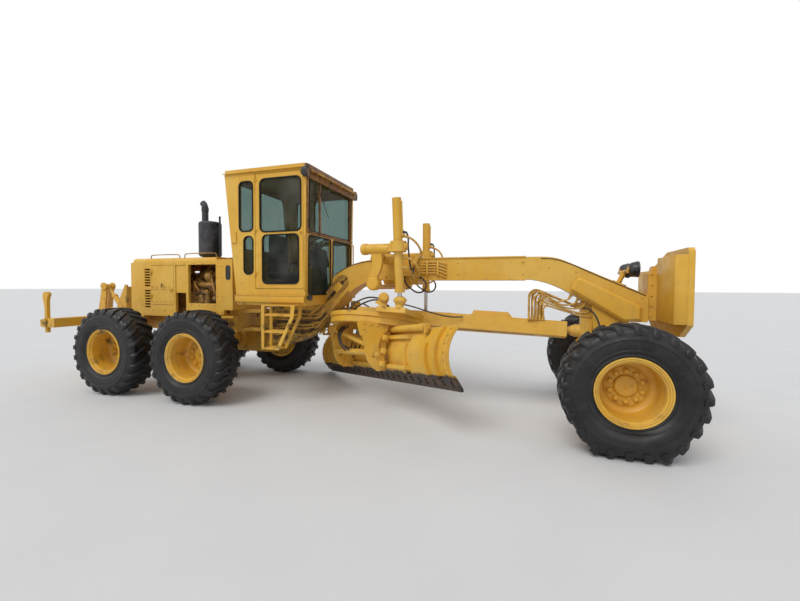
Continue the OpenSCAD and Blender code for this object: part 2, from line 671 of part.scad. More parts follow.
module saddle() color(yellow) {
    // collar round the beam with cut lower corners
    translate([3420, 0, 0]) rotate([90, 0, 90]) linear_extrude(530) difference() {
        polygon([[-225, beam_z0 - 10], [-165, beam_z0 - 75], [165, beam_z0 - 75], [225, beam_z0 - 10],
            [225, beam_z1 + 60], [-225, beam_z1 + 60]]);
        translate([-beam_w / 2 - 14.5, beam_z0 - 12.5]) square([beam_w + 29, beam_z1 - beam_z0 + 25]);
    }
    // side tubes, the two yoke tubes with their caps, and the arms down to the locking bar
    sides() {
        y_cyl([3520, (lift_y + 255) / 2, 2145], 130, lift_y - 195);
        x_cyl([3540, lift_y, lift_z - 25], 140, 330);
        translate([3375, lift_y, lift_z - 25]) sphere(d = 139);
        flat(70, lift_y) polygon(concat(bend([3460, 2180], [3500, 1990], [3420, 1850]),
            [[3400, 1790], [3460, 1700], [3540, 1700], [3560, 1790]],
            bend([3545, 1860], [3640, 2000], [3600, 2180])));
        y_cyl([3490, lift_y, 1760], 150, 110);
        // ring that holds the barrel's trunnions
        difference() {
            union() {
                translate([lift_x, lift_y, lift_z - 70]) cylinder(d = 214, h = 140);
                box([3640, lift_y - 60, lift_z - 65], [lift_x - 70, lift_y + 60, lift_z + 35]);
                for (x = [-1, 1]) x_cyl([lift_x + x * 104, lift_y, lift_z], 100, 26);
            }
            translate([lift_x, lift_y, lift_z]) cylinder(d = 176, h = 400, center = true);
            x_cyl([lift_x, lift_y, lift_z], 50.2, 400);
        }
    }
    // locking bar between the two arms, and the valve block on the collar's side
    y_cyl([3490, 0, 1718], 70, 2 * lift_y - 100);
    sides() box([3700, 225, 1880], [3900, 300, 2060]);
}

// lower balls of the lift cylinders, on the drawbar, in the level pose
eye_local = [3830, 750, 1280];
eye_d = 130;

// a point of the level drawbar carried to its parked place
function posed(p) = let (
    q = p - ball, c = cos(bar_roll), s = -sin(bar_roll), cp = cos(bar_pitch), sp = sin(bar_pitch),
    y = q[1] * c - q[2] * s, z = q[1] * s + q[2] * c)
    ball + [q[0] * cp + z * sp, y, -q[0] * sp + z * cp];

function lift_eye(s) = posed([eye_local[0], s * eye_local[1], eye_local[2]]);
function lift_top(s) = [lift_x, s * lift_y, lift_z];

module lift_barrel(s) color(yellow) {
    d = lift_eye(s) - lift_top(s);
    u = d / norm(d);
    up = s < 0 ? 630 : 530;
    difference() {
        union() {
            rod(lift_top(s) - up * u, lift_top(s) + 600 * u, 120);
            rod(lift_top(s) + 560 * u, lift_top(s) + 604 * u, 138);
        }
        rod(lift_top(s) - 500 * u, lift_top(s) + 700 * u, 61);
    }
    // trunnions and the oil pipe along the barrel
    for (x = [-1, 1]) x_cyl(lift_top(s) + [x * 81, 0, 0], 50, 50);
    rod(lift_top(s) + [64, 0, 0] - (up - 40) * u, lift_top(s) + [64, 0, 0] - 140 * u, 24);
    for (k = [-up + 60, -150]) rod(lift_top(s) + [40, 0, 0] + k * u, lift_top(s) + [72, 0, 0] + k * u, 40);
}

module lift_rod(s) color(steel) {
    d = lift_eye(s) - lift_top(s);
    u = d / norm(d);
    rod(lift_top(s) + 100 * u, lift_eye(s) - 30 * u, 60);
    translate(lift_eye(s)) sphere(d = eye_d);
}

// Front axle

module front_axle() color(yellow) {
    difference() {
        union() {
            // arched beam
            translate([front_x, 0, 0]) rotate([90, 0, 90]) linear_extrude(200, center = true)
                polygon(concat(
                    bend([90 - lean_y, 570], [-420, 800], [-150, 800]),
                    bend([150, 800], [420, 800], [lean_y - 90, 570]), [[lean_y - 90, 430]],
                    bend([540, 430], [380, 620], [150, 620]),
                    bend([-150, 620], [-380, 620], [-540, 430]), [[90 - lean_y, 430]]));
            // fork cheeks round the lean pivots
            sides() for (x = [-81, 81]) {
                x_cyl([front_x + x, lean_y, lean_z], 150, 38);
                box([front_x + x - 19, lean_y - 95, lean_z - 70], [front_x + x + 19, lean_y, lean_z + 70]);
            }
            x_cyl([front_x, 0, 710], 240, 230);
        }
        x_cyl([front_x, 0, 710], 90.2, 400);
        sides() x_cyl([front_x, lean_y, lean_z], 60.2, 400);
    }
    // lean cylinder's barrel on the beam
    difference() {
        y_cyl([front_x - 75, -240, lean_z + lean_bar_h], 74, 400);
        y_cyl([front_x - 75, -300, lean_z + lean_bar_h], 41, 400);
    }
    box([front_x - 95, -300, 770], [front_x - 55, -260, 900]);
    // double-ended steering cylinder behind the beam
    difference() {
        y_cyl([front_x - tie_x, 0, arm_z], 100, 520);
        y_cyl([front_x - tie_x, 0, arm_z], 41, 600);
    }
    for (y = [-200, 200]) box([front_x - tie_x - 20, y - 20, arm_z + 30],
        [front_x - 90, y + 20, arm_z + 75]);
}

arm_z = 630;
tie_x = arm_len + 45;

// turns about the lean pivot and carries the kingpin's two bosses
module lean_bracket(s) color(yellow) scale([1, s, 1]) {
    difference() {
        union() {
            x_cyl([front_x, lean_y, lean_z], 130, 123);
            box([front_x - 34, lean_y - 40, lean_z], [front_x + 34, lean_y, lean_z + lean_bar_h + 40]);
            for (z = [535, 805]) {
                translate([front_x, king_y, z]) cylinder(d = 120, h = 60);
                box([front_x - 34, lean_y - 40, z], [front_x + 34, king_y, z + 60]);
            }
        }
        for (z = [500, 790]) translate([front_x, king_y, z]) cylinder(d = 56.2, h = 120);
        x_cyl([front_x, lean_y, lean_z], 60.2, 400);
    }
    x_cyl([front_x, lean_y, lean_z], 60, 210);
}

// steered piece: kingpin, spindle and steering arm
module knuckle(s) color(yellow) scale([1, s, 1]) {
    translate([front_x, king_y, 595.3]) cylinder(d = 130, h = 209.4);
    translate([front_x, king_y, 530]) cylinder(d = 56, h = 345);
    y_cyl([front_x, (king_y + half_track + rim_disc - 8.3) / 2, axle_z], 150,
        half_track + rim_disc - 8.3 - king_y);
    slab([[front_x - 30, arm_z - 30], [front_x - 30, arm_z + 30],
        [front_x - arm_len, arm_z + 22], [front_x - arm_len, arm_z - 22]], 44, king_y);
    translate([front_x - arm_len, king_y, arm_z - 22]) cylinder(d = 44, h = 44);
}

module lean_bar() color(yellow) {
    x = front_x + 61;
    z = lean_z + lean_bar_h;
    y_cyl([x, 0, z], 50, 2 * lean_y);
    sides() x_cyl([x, lean_y - 20, z], 80, 53.4);
    // rod of the lean cylinder and its lug
    y_cyl([front_x - 75, -450, z], 40, 340);
    box([front_x - 95, -620, z - 20], [x, -595, z + 20]);
}

module tie_rod() color(yellow) {
    y_cyl([front_x - tie_x, 0, arm_z], 40, 2 * king_y);
    sides() y_cyl([front_x - tie_x, king_y, arm_z], 45.4, 40);
}

// Drawbar, circle and blade

module drawbar() color(yellow) drawbar_pose() {
    // two legs that meet at the ball, and the closed box on them
    translate([0, 0, ring_z1]) linear_extrude(200) difference() {
        polygon([[5960, -110], [5960, 110], [3100, 260], [3000, 260], [3000, -260], [3100, -260]]);
        polygon([[5560, -30], [5560, 30], [4000, 95], [4000, -95]]);
    }
    flat(230) polygon([[4700, 1249], [4730, 1325], [5200, 1325], [5270, 1249]]);
    translate(ball) sphere(d = 150);
    rod(ball, [5940, 0, 1150], 100);
    difference() {
        translate([circle_x, 0, ring_z1]) cylinder(r = ring_r + 20, h = 60);
        translate([circle_x, 0, ring_z1 - 40]) cylinder(r = ring_r - 200, h = 200);
    }
    // arms out to the lift rods' balls
    sides() {
        translate([0, 0, 1110]) linear_extrude(70) polygon([[3620, 150], [4040, 150], [3930, 790],
            [3730, 790]]);
        translate([lift_x, lift_y, 1170]) cylinder(d = 110, h = eye_local[2] - eye_d / 2 - 1170.3);
    }
    // ball of the centre shift cylinder on the right arm
    translate([0, 0, 1110]) linear_extrude(70) polygon([[3730, -790], [3520, -790], [3520, -690],
        [3740, -600]]);
    translate([3590, -740, 1170]) cylinder(d = 76, h = 90);
    translate([3590, -740, 1300]) sphere(d = eye_d);
}

// mouldboard: an arc from a_top down to a_low, then a flat tail that carries the edge
blade_back = -100;
a_low = 42;
a_top = 44;
tail = 110;
mould_t = 22;
edge_z = 210;
park_shift = 122;
mould_c = [blade_back + blade_r, edge_z + (tail + 70) * cos(a_low) + blade_r * sin(a_low)];
mould_p = mould_c - blade_r * [cos(a_low), sin(a_low)];
tail_t = [sin(a_low), -cos(a_low)];
tail_n = -[cos(a_low), sin(a_low)];

module mould_section() {
    translate(mould_c) intersection() {
        difference() {
            circle(r = blade_r + mould_t, $fn = 96);
            circle(r = blade_r, $fn = 96);
        }
        polygon([[0, 0], -2 * blade_r * [cos(a_low), sin(a_low)], [-3 * blade_r, 0],
            2 * blade_r * [-cos(a_top), sin(a_top)]]);
    }
    polygon([mould_p, mould_p + tail * tail_t, mould_p + tail * tail_t + mould_t * tail_n,
        mould_p + mould_t * tail_n]);
}

// a section in X and Z drawn out along the blade, l long
module along_blade(l, y = 0) translate([0, y + l / 2, 0]) rotate([90, 0, 0]) linear_extrude(l)
    children();

module mouldboard() color(yellow) circle_pose() translate([0, park_shift, 0]) {
    along_blade(blade_l) mould_section();
    // slide rails on the back
    along_blade(2600) polygon([[-150, 770], [-60, 770], [-60, 820], [-150, 820]]);
    along_blade(2600) polygon([[-150, 385], [-30, 385], [-40, 435], [-150, 435]]);
}

module cutting_edge() color(dark) circle_pose() translate([0, park_shift, 0]) along_blade(blade_l)
    polygon([mould_p + 20 * tail_t, mould_p + (tail + 70) * tail_t,
        mould_p + (tail + 70) * tail_t - 20 * tail_n, mould_p + 20 * tail_t - 20 * tail_n]);

tip_pin = [-215, 0, 410];

// carriers between the arms and the mouldboard's rails
module blade_brackets() color(yellow) circle_pose() sides() difference() {
    union() {
        box([-260, 560, 340], [-155, 614.7, 870]);
        for (z = [[340, 384.5], [435.5, 480], [725, 769.5], [820.5, 870]])
            box([-160, 560, z[0]], [-114, 614.7, z[1]]);
    }
    y_cyl([tip_pin[0], 580, tip_pin[2]], 50.2, 200);
}

// gear teeth inside the circle, their height, and the blade arms' curved slot
tooth_n = 64;
tooth_h = 26;
slot_r = 158;

module turn_circle() color(yellow) circle_pose() {
    // ring with its inner gear
    translate([0, 0, ring_z0]) linear_extrude(ring_z1 - ring_z0 - 0.3) difference() {
        circle(r = ring_r, $fn = 96);
        polygon([for (i = [0 : tooth_n - 1], k = [0 : 3]) let (a = (i + [0, 0.3, 0.5, 0.8][k]) * 360
            / tooth_n, r = ring_r - 110 - [0, 0, tooth_h, tooth_h][k]) [r * cos(a), r * sin(a)]]);
    }
    // the two blade arms, tied by a tube and a brace
    sides() {
        difference() {
            flat(40, 635) polygon(concat([[-590, ring_z0 + 2], [-175, ring_z0 + 2]],
                bend([-175, 880], [-290, 800], [-285, 640]), [[-175, 500], [-175, 345], [-250, 325]],
                bend([-330, 360], [-470, 480], [-480, 640]), [[-590, 900]]));
            translate([tip_pin[0], 0, tip_pin[2]]) flat(80, 635) intersection() {
                difference() {
                    circle(r = slot_r + 13);
                    circle(r = slot_r - 13);
                }
                polygon([[0, 0], 300 * [cos(112), sin(112)], 300 * [cos(148), sin(148)]]);
            }
        }
        y_cyl([tip_pin[0], 608, tip_pin[2]], 50, 92);
        y_cyl([tip_pin[0], 660, tip_pin[2]], 76, 24);
        // gusset from the arm to the ring
        translate([-560, 0, 0]) rotate([90, 0, 90]) linear_extrude(40) polygon([[420, ring_z0 + 2],
            [620, ring_z0 + 2], [620, 760]]);
    }
    y_cyl([-420, 0, 560], 84, 1240);
    rod([-520, 600, 900], [-400, -610, 640], 62);
}

shift_x = -95;
shift_z = 912;

module shift_rod() color(steel) circle_pose() {
    y_cyl([shift_x, 100, shift_z], 36, 930);
    box([-130, 565, 870], [-60, 610, shift_z + 30]);
}
module shift_barrel() color(yellow) circle_pose() translate([0, park_shift, 0]) {
    difference() {
        union() {
            y_cyl([shift_x, -1000, shift_z], 70, 1300);
            y_cyl([shift_x, -370, shift_z], 80, 40);
            y_cyl([shift_x, -1635, shift_z], 80, 40);
        }
        y_cyl([shift_x, -900, shift_z], 37, 1400);
    }
    box([-130, -1660, 822], [-72, -1630, shift_z]);
}

// Assembly

place() rear_frame();
place() tandem();
place() engine();
place() hood();
place() radiator_guard();
place() engine_door(-1);  // engine_door_R
place() engine_door(1);  // engine_door_L
place() exhaust();
place() ripper();
place() ripper_barrel();
place() ripper_rod();
place() wheel_tyre(1, -1);  // tyre_1R
place() wheel_rim(1, -1);  // rim_1R
place() wheel_tyre(1, 1);  // tyre_1L
place() wheel_rim(1, 1);  // rim_1L
place() wheel_tyre(2, -1);  // tyre_2R
place() wheel_rim(2, -1);  // rim_2R
place() wheel_tyre(2, 1);  // tyre_2L
place() wheel_rim(2, 1);  // rim_2L
place() wheel_tyre(3, -1);  // tyre_3R
place() wheel_rim(3, -1);  // rim_3R
place() wheel_tyre(3, 1);  // tyre_3L
place() wheel_rim(3, 1);  // rim_3L
place() front_frame();
place() cab_base();
place() saddle();
place() front_axle();
place() push_plate();
place() lamps();
place() hoses();
place() cab_frame();
place() cab_roof();
place() cab_glass();
place() cab_door(-1);  // cab_door_R
place() cab_door(1);  // cab_door_L
place() door_glass(-1);  // door_glass_R
place() door_glass(1);  // door_glass_L
place() seat();
place() console();
place() lean_bracket(-1);  // lean_bracket_R
place() lean_bracket(1);  // lean_bracket_L
place() knuckle(-1);  // knuckle_R
place() knuckle(1);  // knuckle_L
place() lean_bar();
place() tie_rod();
place() lift_barrel(-1);  // lift_barrel_R
place() lift_rod(-1);  // lift_rod_R
place() lift_barrel(1);  // lift_barrel_L
place() lift_rod(1);  // lift_rod_L
place() drawbar();
place() turn_circle();
place() blade_brackets();
place() shift_rod();
place() mouldboard();
place() cutting_edge();
place() shift_barrel();
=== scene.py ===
# %% [markdown]
# A motor grader, dressed for its portrait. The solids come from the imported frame, in metres, with
# +X forward, +Y to the machine's left and +Z up. This lesson adds what the solids leave out: tread
# and lugs, weathered paint, glass, hoses, lamps, seams and bolts. Each piece rides on a body of the
# frame, so the machine can still steer, lean, articulate and swing its blade.

# %% load the frame
import math

import bpy
from mathutils import Matrix, Vector


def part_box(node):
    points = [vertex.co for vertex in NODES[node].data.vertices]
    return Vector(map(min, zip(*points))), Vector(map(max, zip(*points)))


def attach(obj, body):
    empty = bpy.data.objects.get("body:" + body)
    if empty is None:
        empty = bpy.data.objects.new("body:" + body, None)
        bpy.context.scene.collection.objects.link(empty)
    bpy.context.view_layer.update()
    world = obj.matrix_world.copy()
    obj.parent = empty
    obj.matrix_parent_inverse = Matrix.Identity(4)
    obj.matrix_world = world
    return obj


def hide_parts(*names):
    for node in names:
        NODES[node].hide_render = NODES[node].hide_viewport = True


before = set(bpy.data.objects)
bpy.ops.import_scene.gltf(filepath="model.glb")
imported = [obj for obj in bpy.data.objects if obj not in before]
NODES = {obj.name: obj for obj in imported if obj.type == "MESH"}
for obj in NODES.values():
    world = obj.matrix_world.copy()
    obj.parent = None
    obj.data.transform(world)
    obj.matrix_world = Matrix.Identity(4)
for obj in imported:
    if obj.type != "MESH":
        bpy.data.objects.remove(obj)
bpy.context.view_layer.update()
bpy.ops.object.select_all(action="DESELECT")

# %% [markdown]
# The camera comes first, because everything is judged through it. The photograph was taken with a
# wide lens from beside the front half, at eye height, turned a little towards the engine. The
# picture is 800 pixels wide, so a focal length of 390 pixels is 17.55 mm on a 36 mm sensor.

# %% camera
bpy.ops.object.camera_add(location=(3.35, -5.65, 1.72))
camera = bpy.context.object
camera.name = "camera"
camera.data.sensor_width = 36
camera.data.lens = 390 * 36 / 800
look = Matrix.Rotation(math.radians(18), 3, "Z") @ Matrix.Rotation(math.radians(88), 3, "X")
look = look @ Matrix.Rotation(math.radians(0.3), 3, "Z")
camera.rotation_euler = look.to_euler()
bpy.context.scene.camera = camera
print("camera at", tuple(camera.location), "lens", round(camera.data.lens, 2))

# %% [markdown]
# The stage is a pale floor under a soft, even sky, with one broad lamp high on the camera's side.
# The sky shows white to the camera and in reflections, but lights the machine at a plain level, so
# a colour renders about as it is written.

# %% stage and light
scene = bpy.context.scene
scene.view_settings.view_transform = "Standard"


def node(tree, kind, put=None, **settings):
    """Adds one shader node; put fills its inputs with values or links."""
    made = tree.nodes.new("ShaderNode" + kind)
    for key, value in settings.items():
        setattr(made, key, value)
    for key, value in (put or {}).items():
        socket = made.inputs[key]
        if isinstance(value, bpy.types.NodeSocket):
            tree.links.new(value, socket)
        else:
            socket.default_value = value
    return made


sky = bpy.data.worlds.new("sky")
scene.world = sky
sky.use_nodes = True
tree = sky.node_tree
tree.nodes.clear()
path = node(tree, "LightPath")
seen = node(tree, "Math", {0: path.outputs["Is Camera Ray"], 1: path.outputs["Is Glossy Ray"]},
            operation="MAXIMUM")
seen = node(tree, "Math", {0: seen.outputs[0], 1: path.outputs["Is Transmission Ray"]},
            operation="MAXIMUM")
soft = node(tree, "Background", {"Color": (0.93, 0.96, 1.0, 1), "Strength": 0.62})
white = node(tree, "Background", {"Color": (1, 1, 1, 1), "Strength": 1.0})
both = node(tree, "MixShader", {0: seen.outputs[0], 1: soft.outputs[0], 2: white.outputs[0]})
node(tree, "OutputWorld", {"Surface": both.outputs[0]})

bpy.ops.object.light_add(type="SUN", location=(0, -6, 12),
                         rotation=(math.radians(38), math.radians(-14), 0))
sun = bpy.context.object
sun.data.energy = 1.5
sun.data.angle = math.radians(35)
sun.data.color = (1.0, 0.98, 0.94)

bpy.ops.mesh.primitive_plane_add(size=400, location=(0, 0, 0))
floor = bpy.context.object
floor.name = "floor"
floor_paint = bpy.data.materials.new("floor_paint")
floor_paint.use_nodes = True
tree = floor_paint.node_tree
shader = tree.nodes["Principled BSDF"]
place = node(tree, "TexCoord")
grain = node(tree, "TexNoise", {"Vector": place.outputs["Object"], "Scale": 1.3, "Detail": 6.0})
tone = node(tree, "ValToRGB", {0: grain.outputs[0]})
tone.color_ramp.elements[0].color = (0.66, 0.66, 0.67, 1)
tone.color_ramp.elements[1].color = (0.72, 0.72, 0.72, 1)
tree.links.new(tone.outputs[0], shader.inputs["Base Color"])
shader.inputs["Roughness"].default_value = 0.75
floor.data.materials.append(floor_paint)
print("stage ready")

# %% [markdown]
# Paint is the main finish. The real machine was brushed and sprayed yellow more than once, over
# dents, rust and old grease, so the colour drifts, the edges are worn, and dust and rain streaks
# lie on the lower parts. Painted pictures could show that, but noises on the Object coordinates
# need no unwrapping and stay in place when a joint moves. Their sizes are those of the real thing:
# drifts of a metre, mottling of a hand, chips of a few millimetres. A Bevel node rounds each sharp
# edge a little for the light, and where it bends the normal it also marks the edge, which is where
# paint wears.

# %% helpers for materials


def start_material(name):
    made = bpy.data.materials.new(name)
    made.use_nodes = True
    return made, made.node_tree, made.node_tree.nodes["Principled BSDF"]


def noise(tree, where, scale, detail=4.0, rough=0.55, stretch=None):
    """Fractal noise from 0 to 1; stretch squeezes the pattern along X, Y and Z."""
    if stretch:
        where = node(tree, "Mapping", {"Vector": where, "Scale": stretch}).outputs[0]
    return node(tree, "TexNoise", {"Vector": where, "Scale": scale, "Detail": detail,
                                   "Roughness": rough}).outputs[0]


def span(tree, value, a, b, low=0.0, high=1.0):
    """Maps a..b to low..high with a soft start and end."""
    return node(tree, "MapRange", {0: value, 1: a, 2: b, 3: low, 4: high},
                interpolation_type="SMOOTHSTEP").outputs[0]


def times(tree, a, b, how="MULTIPLY"):
    return node(tree, "Math", {0: a, 1: b}, operation=how, use_clamp=True).outputs[0]


def mix(tree, factor, a, b):
    """Mixes two colours, given as values or sockets."""
    return node(tree, "Mix", {0: factor, 6: a, 7: b}, data_type="RGBA").outputs[2]


def rounded(tree, radius):
    """Bevelled normal, and how much it bends: 0 on flats, 1 on sharp edges."""
    bevel = node(tree, "Bevel", {"Radius": radius}, samples=4)
    flat = node(tree, "NewGeometry")
    dot = node(tree, "VectorMath", {0: bevel.outputs[0], 1: flat.outputs["Normal"]},
               operation="DOT_PRODUCT")
    edge = span(tree, dot.outputs["Value"], 0.985, 0.80)
    return bevel.outputs[0], edge


def finish_material(tree, shader, colour, rough, height, normal, depth=0.0015):
    tree.links.new(colour, shader.inputs["Base Color"])
    tree.links.new(rough, shader.inputs["Roughness"])
    bump = node(tree, "Bump", {"Height": height, "Strength": 0.6, "Distance": depth})
    tree.links.new(normal, bump.inputs["Normal"])
    tree.links.new(bump.outputs[0], shader.inputs["Normal"])


print("shader helpers ready")

# %% [markdown]
# The paint is built in layers: the colour and its drifts, rain streaks and dust, oil, chips and bare
# metal along worn edges, and last the marks of one place: the rust above the windscreen, painted
# shade with oil under the cab at the neck, and painted shade with dirt low on the blade. One function
# makes all of the yellow paints, because only the amounts differ from part to part.

# %% weathered yellow paint
YELLOW = (0.69, 0.375, 0.028, 1)
YELLOW_FADED = (0.73, 0.435, 0.062, 1)
YELLOW_DEEP = (0.58, 0.275, 0.016, 1)
DUST = (0.36, 0.255, 0.12, 1)
GREASE = (0.045, 0.032, 0.020, 1)
RUST = (0.16, 0.062, 0.022, 1)


def paint(name, dusty=0.4, worn=0.5, greasy=0.0, radius=0.006, rusty=None, band=None,
          oil_and_shade=None):
    """Weathered yellow paint; dusty, worn and greasy run from 0 to 1. Where rusty is given, as the
    X and Z from which the paint has gone, rust takes over there in ragged patches. Where band is
    given, as a direction and a level, painted shade and dirt darken what lies below that level. Where
    the last argument gives X and Z, painted shade and oil darken much of what lies behind and below."""
    made, tree, shader = start_material(name)
    where = node(tree, "TexCoord").outputs["Object"]
    along_x, _, height_z = node(tree, "SeparateXYZ", {0: where}).outputs
    normal, edge = rounded(tree, radius)
    drift = noise(tree, where, 0.9, 3.0)
    mottle = noise(tree, where, 7.0, 6.0)
    fine = noise(tree, where, 60.0, 3.0)
    streak = noise(tree, where, 1.0, 5.0, stretch=(16, 16, 0.7))
    colour = mix(tree, span(tree, drift, 0.42, 0.62), YELLOW, YELLOW_FADED)
    colour = mix(tree, span(tree, mottle, 0.52, 0.74, 0, 0.30), colour, YELLOW_DEEP)
    low = span(tree, height_z, 2.4, 0.5, 0.25, 1.0)
    runs = times(tree, span(tree, streak, 0.52, 0.70, 0, 0.55 * dusty + 0.12), low)
    colour = mix(tree, runs, colour, DUST)
    film = times(tree, span(tree, mottle, 0.44, 0.66, 0, dusty), low)
    colour = mix(tree, film, colour, DUST)
    if greasy:
        pools = noise(tree, where, 4.0, 7.0, 0.62)
        oil = times(tree, span(tree, pools, 0.56 - 0.14 * greasy, 0.70 - 0.10 * greasy), 0.85)
        colour = mix(tree, oil, colour, GREASE)
    ragged = times(tree, edge, span(tree, mottle, 0.66 - 0.20 * worn, 0.72 - 0.16 * worn))
    chips = span(tree, noise(tree, where, 34.0, 5.0, 0.6), 0.735 - 0.05 * worn, 0.755 - 0.05 * worn)
    bare = times(tree, ragged, chips, "MAXIMUM")
    metal = mix(tree, span(tree, fine, 0.4, 0.6), RUST, (0.07, 0.045, 0.03, 1))
    if rusty:
        zone = times(tree, span(tree, along_x, rusty[0] - 0.03, rusty[0] + 0.02),
                     span(tree, height_z, rusty[1] - 0.25, rusty[1] + 0.10, 0.30, 1.0))
        patches = span(tree, noise(tree, where, 9.0, 7.0, 0.62), 0.44, 0.54)
        zone = times(tree, zone, span(tree, zone, 0.6, 1.0, 0.35, 1.0))
        top = span(tree, height_z, rusty[1], rusty[1] + 0.05)
        gone = times(tree, zone, times(tree, patches, top, "MAXIMUM"))
        brown = mix(tree, span(tree, mottle, 0.4, 0.62), (0.115, 0.042, 0.016, 1),
                    (0.30, 0.14, 0.045, 1))
        colour = mix(tree, gone, colour, brown)
    # Painted shade with oil: the frame darkens behind and below the given X and Z, under the cab.
    if oil_and_shade:
        zone = times(tree, span(tree, along_x, oil_and_shade[0] + 0.10, oil_and_shade[0] - 0.15),
                     span(tree, height_z, oil_and_shade[1] + 0.05, oil_and_shade[1] - 0.10))
        oily = times(tree, zone, span(tree, mottle, 0.40, 0.60, 0.35, 0.95))
        colour = mix(tree, oily, colour, (0.085, 0.045, 0.020, 1))
    # Painted shade with dirt: below the level the blade turns near-black, as on its shaded underside.
    if band:
        level = node(tree, "VectorMath", {0: where, 1: band[0]},
                     operation="DOT_PRODUCT").outputs["Value"]
        level = node(tree, "Math", {0: mottle, 1: 0.10, 2: level}, operation="MULTIPLY_ADD")
        below = span(tree, level.outputs[0], band[1] + 0.075, band[1] + 0.045)
        dark = mix(tree, span(tree, mottle, 0.42, 0.62), (0.020, 0.014, 0.010, 1),
                   (0.085, 0.048, 0.024, 1))
        colour = mix(tree, below, colour, dark)
    colour = mix(tree, times(tree, bare, 0.85), colour, metal)
    rough = span(tree, mottle, 0.3, 0.7, 0.42, 0.68)
    relief = times(tree, times(tree, mottle, 0.5), times(tree, fine, 0.12), "ADD")
    finish_material(tree, shader, colour, rough, relief, normal)
    shader.inputs["Coat Weight"].default_value = 0.12
    shader.inputs["Coat Roughness"].default_value = 0.35
    return made


PAINT = paint("yellow_paint", dusty=0.16, worn=0.25)
PAINT_CAB = paint("cab_paint", dusty=0.12, worn=0.2, rusty=(0.350, 3.34))
PAINT_LOW = paint("yellow_paint_low", dusty=0.34, worn=0.4, greasy=0.05)
PAINT_BLADE = paint("blade_paint", dusty=0.22, worn=0.35)
BLADE_UP = ((0.0373, 0.2334, 0.9717), 0.465)  # the tilted blade's own up, and its edge's level
# Under the cab the neck is darkened with painted shade and oil.
PAINT_NECK = paint("yellow_paint_frame", dusty=0.20, worn=0.3, oil_and_shade=(0.62, 1.42))
# Below its edge's level the mouldboard is darkened with painted shade and dirt.
PAINT_MOULD = paint("mouldboard_paint", dusty=0.24, worn=0.4, band=BLADE_UP)
PAINT_RIM = paint("rim_paint", dusty=0.18, worn=0.3)
PAINT_RIM_REAR = paint("rim_paint_rear", dusty=0.30, worn=0.9, greasy=0.10)
print("paints", PAINT.name, PAINT_CAB.name, PAINT_LOW.name, PAINT_MOULD.name, PAINT_RIM_REAR.name)

# %% [markdown]
# The other finishes: tyre rubber with dried mud in its hollows, black paint on the exhaust and lamps,
# oily iron for the engine, worn bare steel on the cutting edge, chrome on the rods, rubber hoses and
# seals, and the vinyl of the seat. Each is two tones that drift into each other, most of them under
# a film of dust, so one function makes them all, and a finish is only its tones and amounts.

# %% rubber, iron, steel and vinyl


def simple(name, dark, light, scale, rough=(0.5, 0.7), dust=0.0, dust_colour=DUST, metallic=0.0,
           depth=0.001, radius=0.003, spots=None, shine=0.5):
    """A finish that drifts between two tones, under dust and, where given, spots."""
    made, tree, shader = start_material(name)
    where = node(tree, "TexCoord").outputs["Object"]
    normal, edge = rounded(tree, radius)
    big = noise(tree, where, scale, 6.0)
    fine = noise(tree, where, scale * 14, 3.0)
    colour = mix(tree, span(tree, big, 0.35, 0.68), dark, light)
    if dust:
        film = times(tree, span(tree, noise(tree, where, scale * 2.6, 8.0, 0.65), 0.47, 0.66), dust)
        colour = mix(tree, film, colour, dust_colour)
    if spots:
        colour = mix(tree, span(tree, noise(tree, where, scale * 5, 6.0), 0.58, 0.66), colour, spots)
    colour = mix(tree, times(tree, edge, 0.35), colour, light)
    rougher = span(tree, big, 0.3, 0.7, rough[0], rough[1])
    relief = times(tree, times(tree, big, 0.4), times(tree, fine, 0.3), "ADD")
    finish_material(tree, shader, colour, rougher, relief, normal, depth)
    shader.inputs["Metallic"].default_value = metallic
    shader.inputs["Specular IOR Level"].default_value = shine
    return made


def black_paint(name):
    return simple(name, (0.010, 0.010, 0.011, 1), (0.035, 0.035, 0.037, 1), 5.0, (0.35, 0.6),
                  dust=0.25, dust_colour=(0.12, 0.11, 0.10, 1))


RUBBER = simple("tyre_rubber", (0.004, 0.004, 0.005, 1), (0.013, 0.013, 0.015, 1), 3.0,
                (0.34, 0.62), dust=0.30, dust_colour=(0.040, 0.038, 0.037, 1), depth=0.002,
                shine=0.42)
BLACK = black_paint("black_paint")
MUFFLER = simple("exhaust_black", (0.010, 0.011, 0.016, 1), (0.045, 0.047, 0.060, 1), 6.0,
                 (0.4, 0.65), dust=0.2, dust_colour=(0.14, 0.10, 0.08, 1))
IRON = simple("engine_iron", (0.30, 0.150, 0.030, 1), (0.55, 0.30, 0.060, 1), 6.0, (0.45, 0.7),
              dust=0.85, dust_colour=(0.050, 0.030, 0.016, 1), depth=0.004)
EDGE = simple("edge_steel", (0.030, 0.022, 0.018, 1), (0.11, 0.080, 0.062, 1), 4.0, (0.35, 0.6),
              dust=0.4, dust_colour=RUST, metallic=0.6, spots=(0.20, 0.11, 0.05, 1))
CHROME = simple("rod_chrome", (0.50, 0.49, 0.47, 1), (0.66, 0.65, 0.63, 1), 4.0, (0.12, 0.28),
                dust=0.2, dust_colour=(0.25, 0.21, 0.15, 1), metallic=0.95, depth=0.0003)
HOSE = simple("hose_rubber", (0.013, 0.013, 0.014, 1), (0.04, 0.038, 0.035, 1), 9.0, (0.5, 0.75),
              dust=0.4, dust_colour=(0.26, 0.16, 0.05, 1))
HOSE_PAINTED = simple("hose_overspray", (0.48, 0.26, 0.040, 1), (0.72, 0.43, 0.085, 1), 9.0,
                      (0.5, 0.7), dust=0.4, dust_colour=(0.16, 0.085, 0.030, 1))
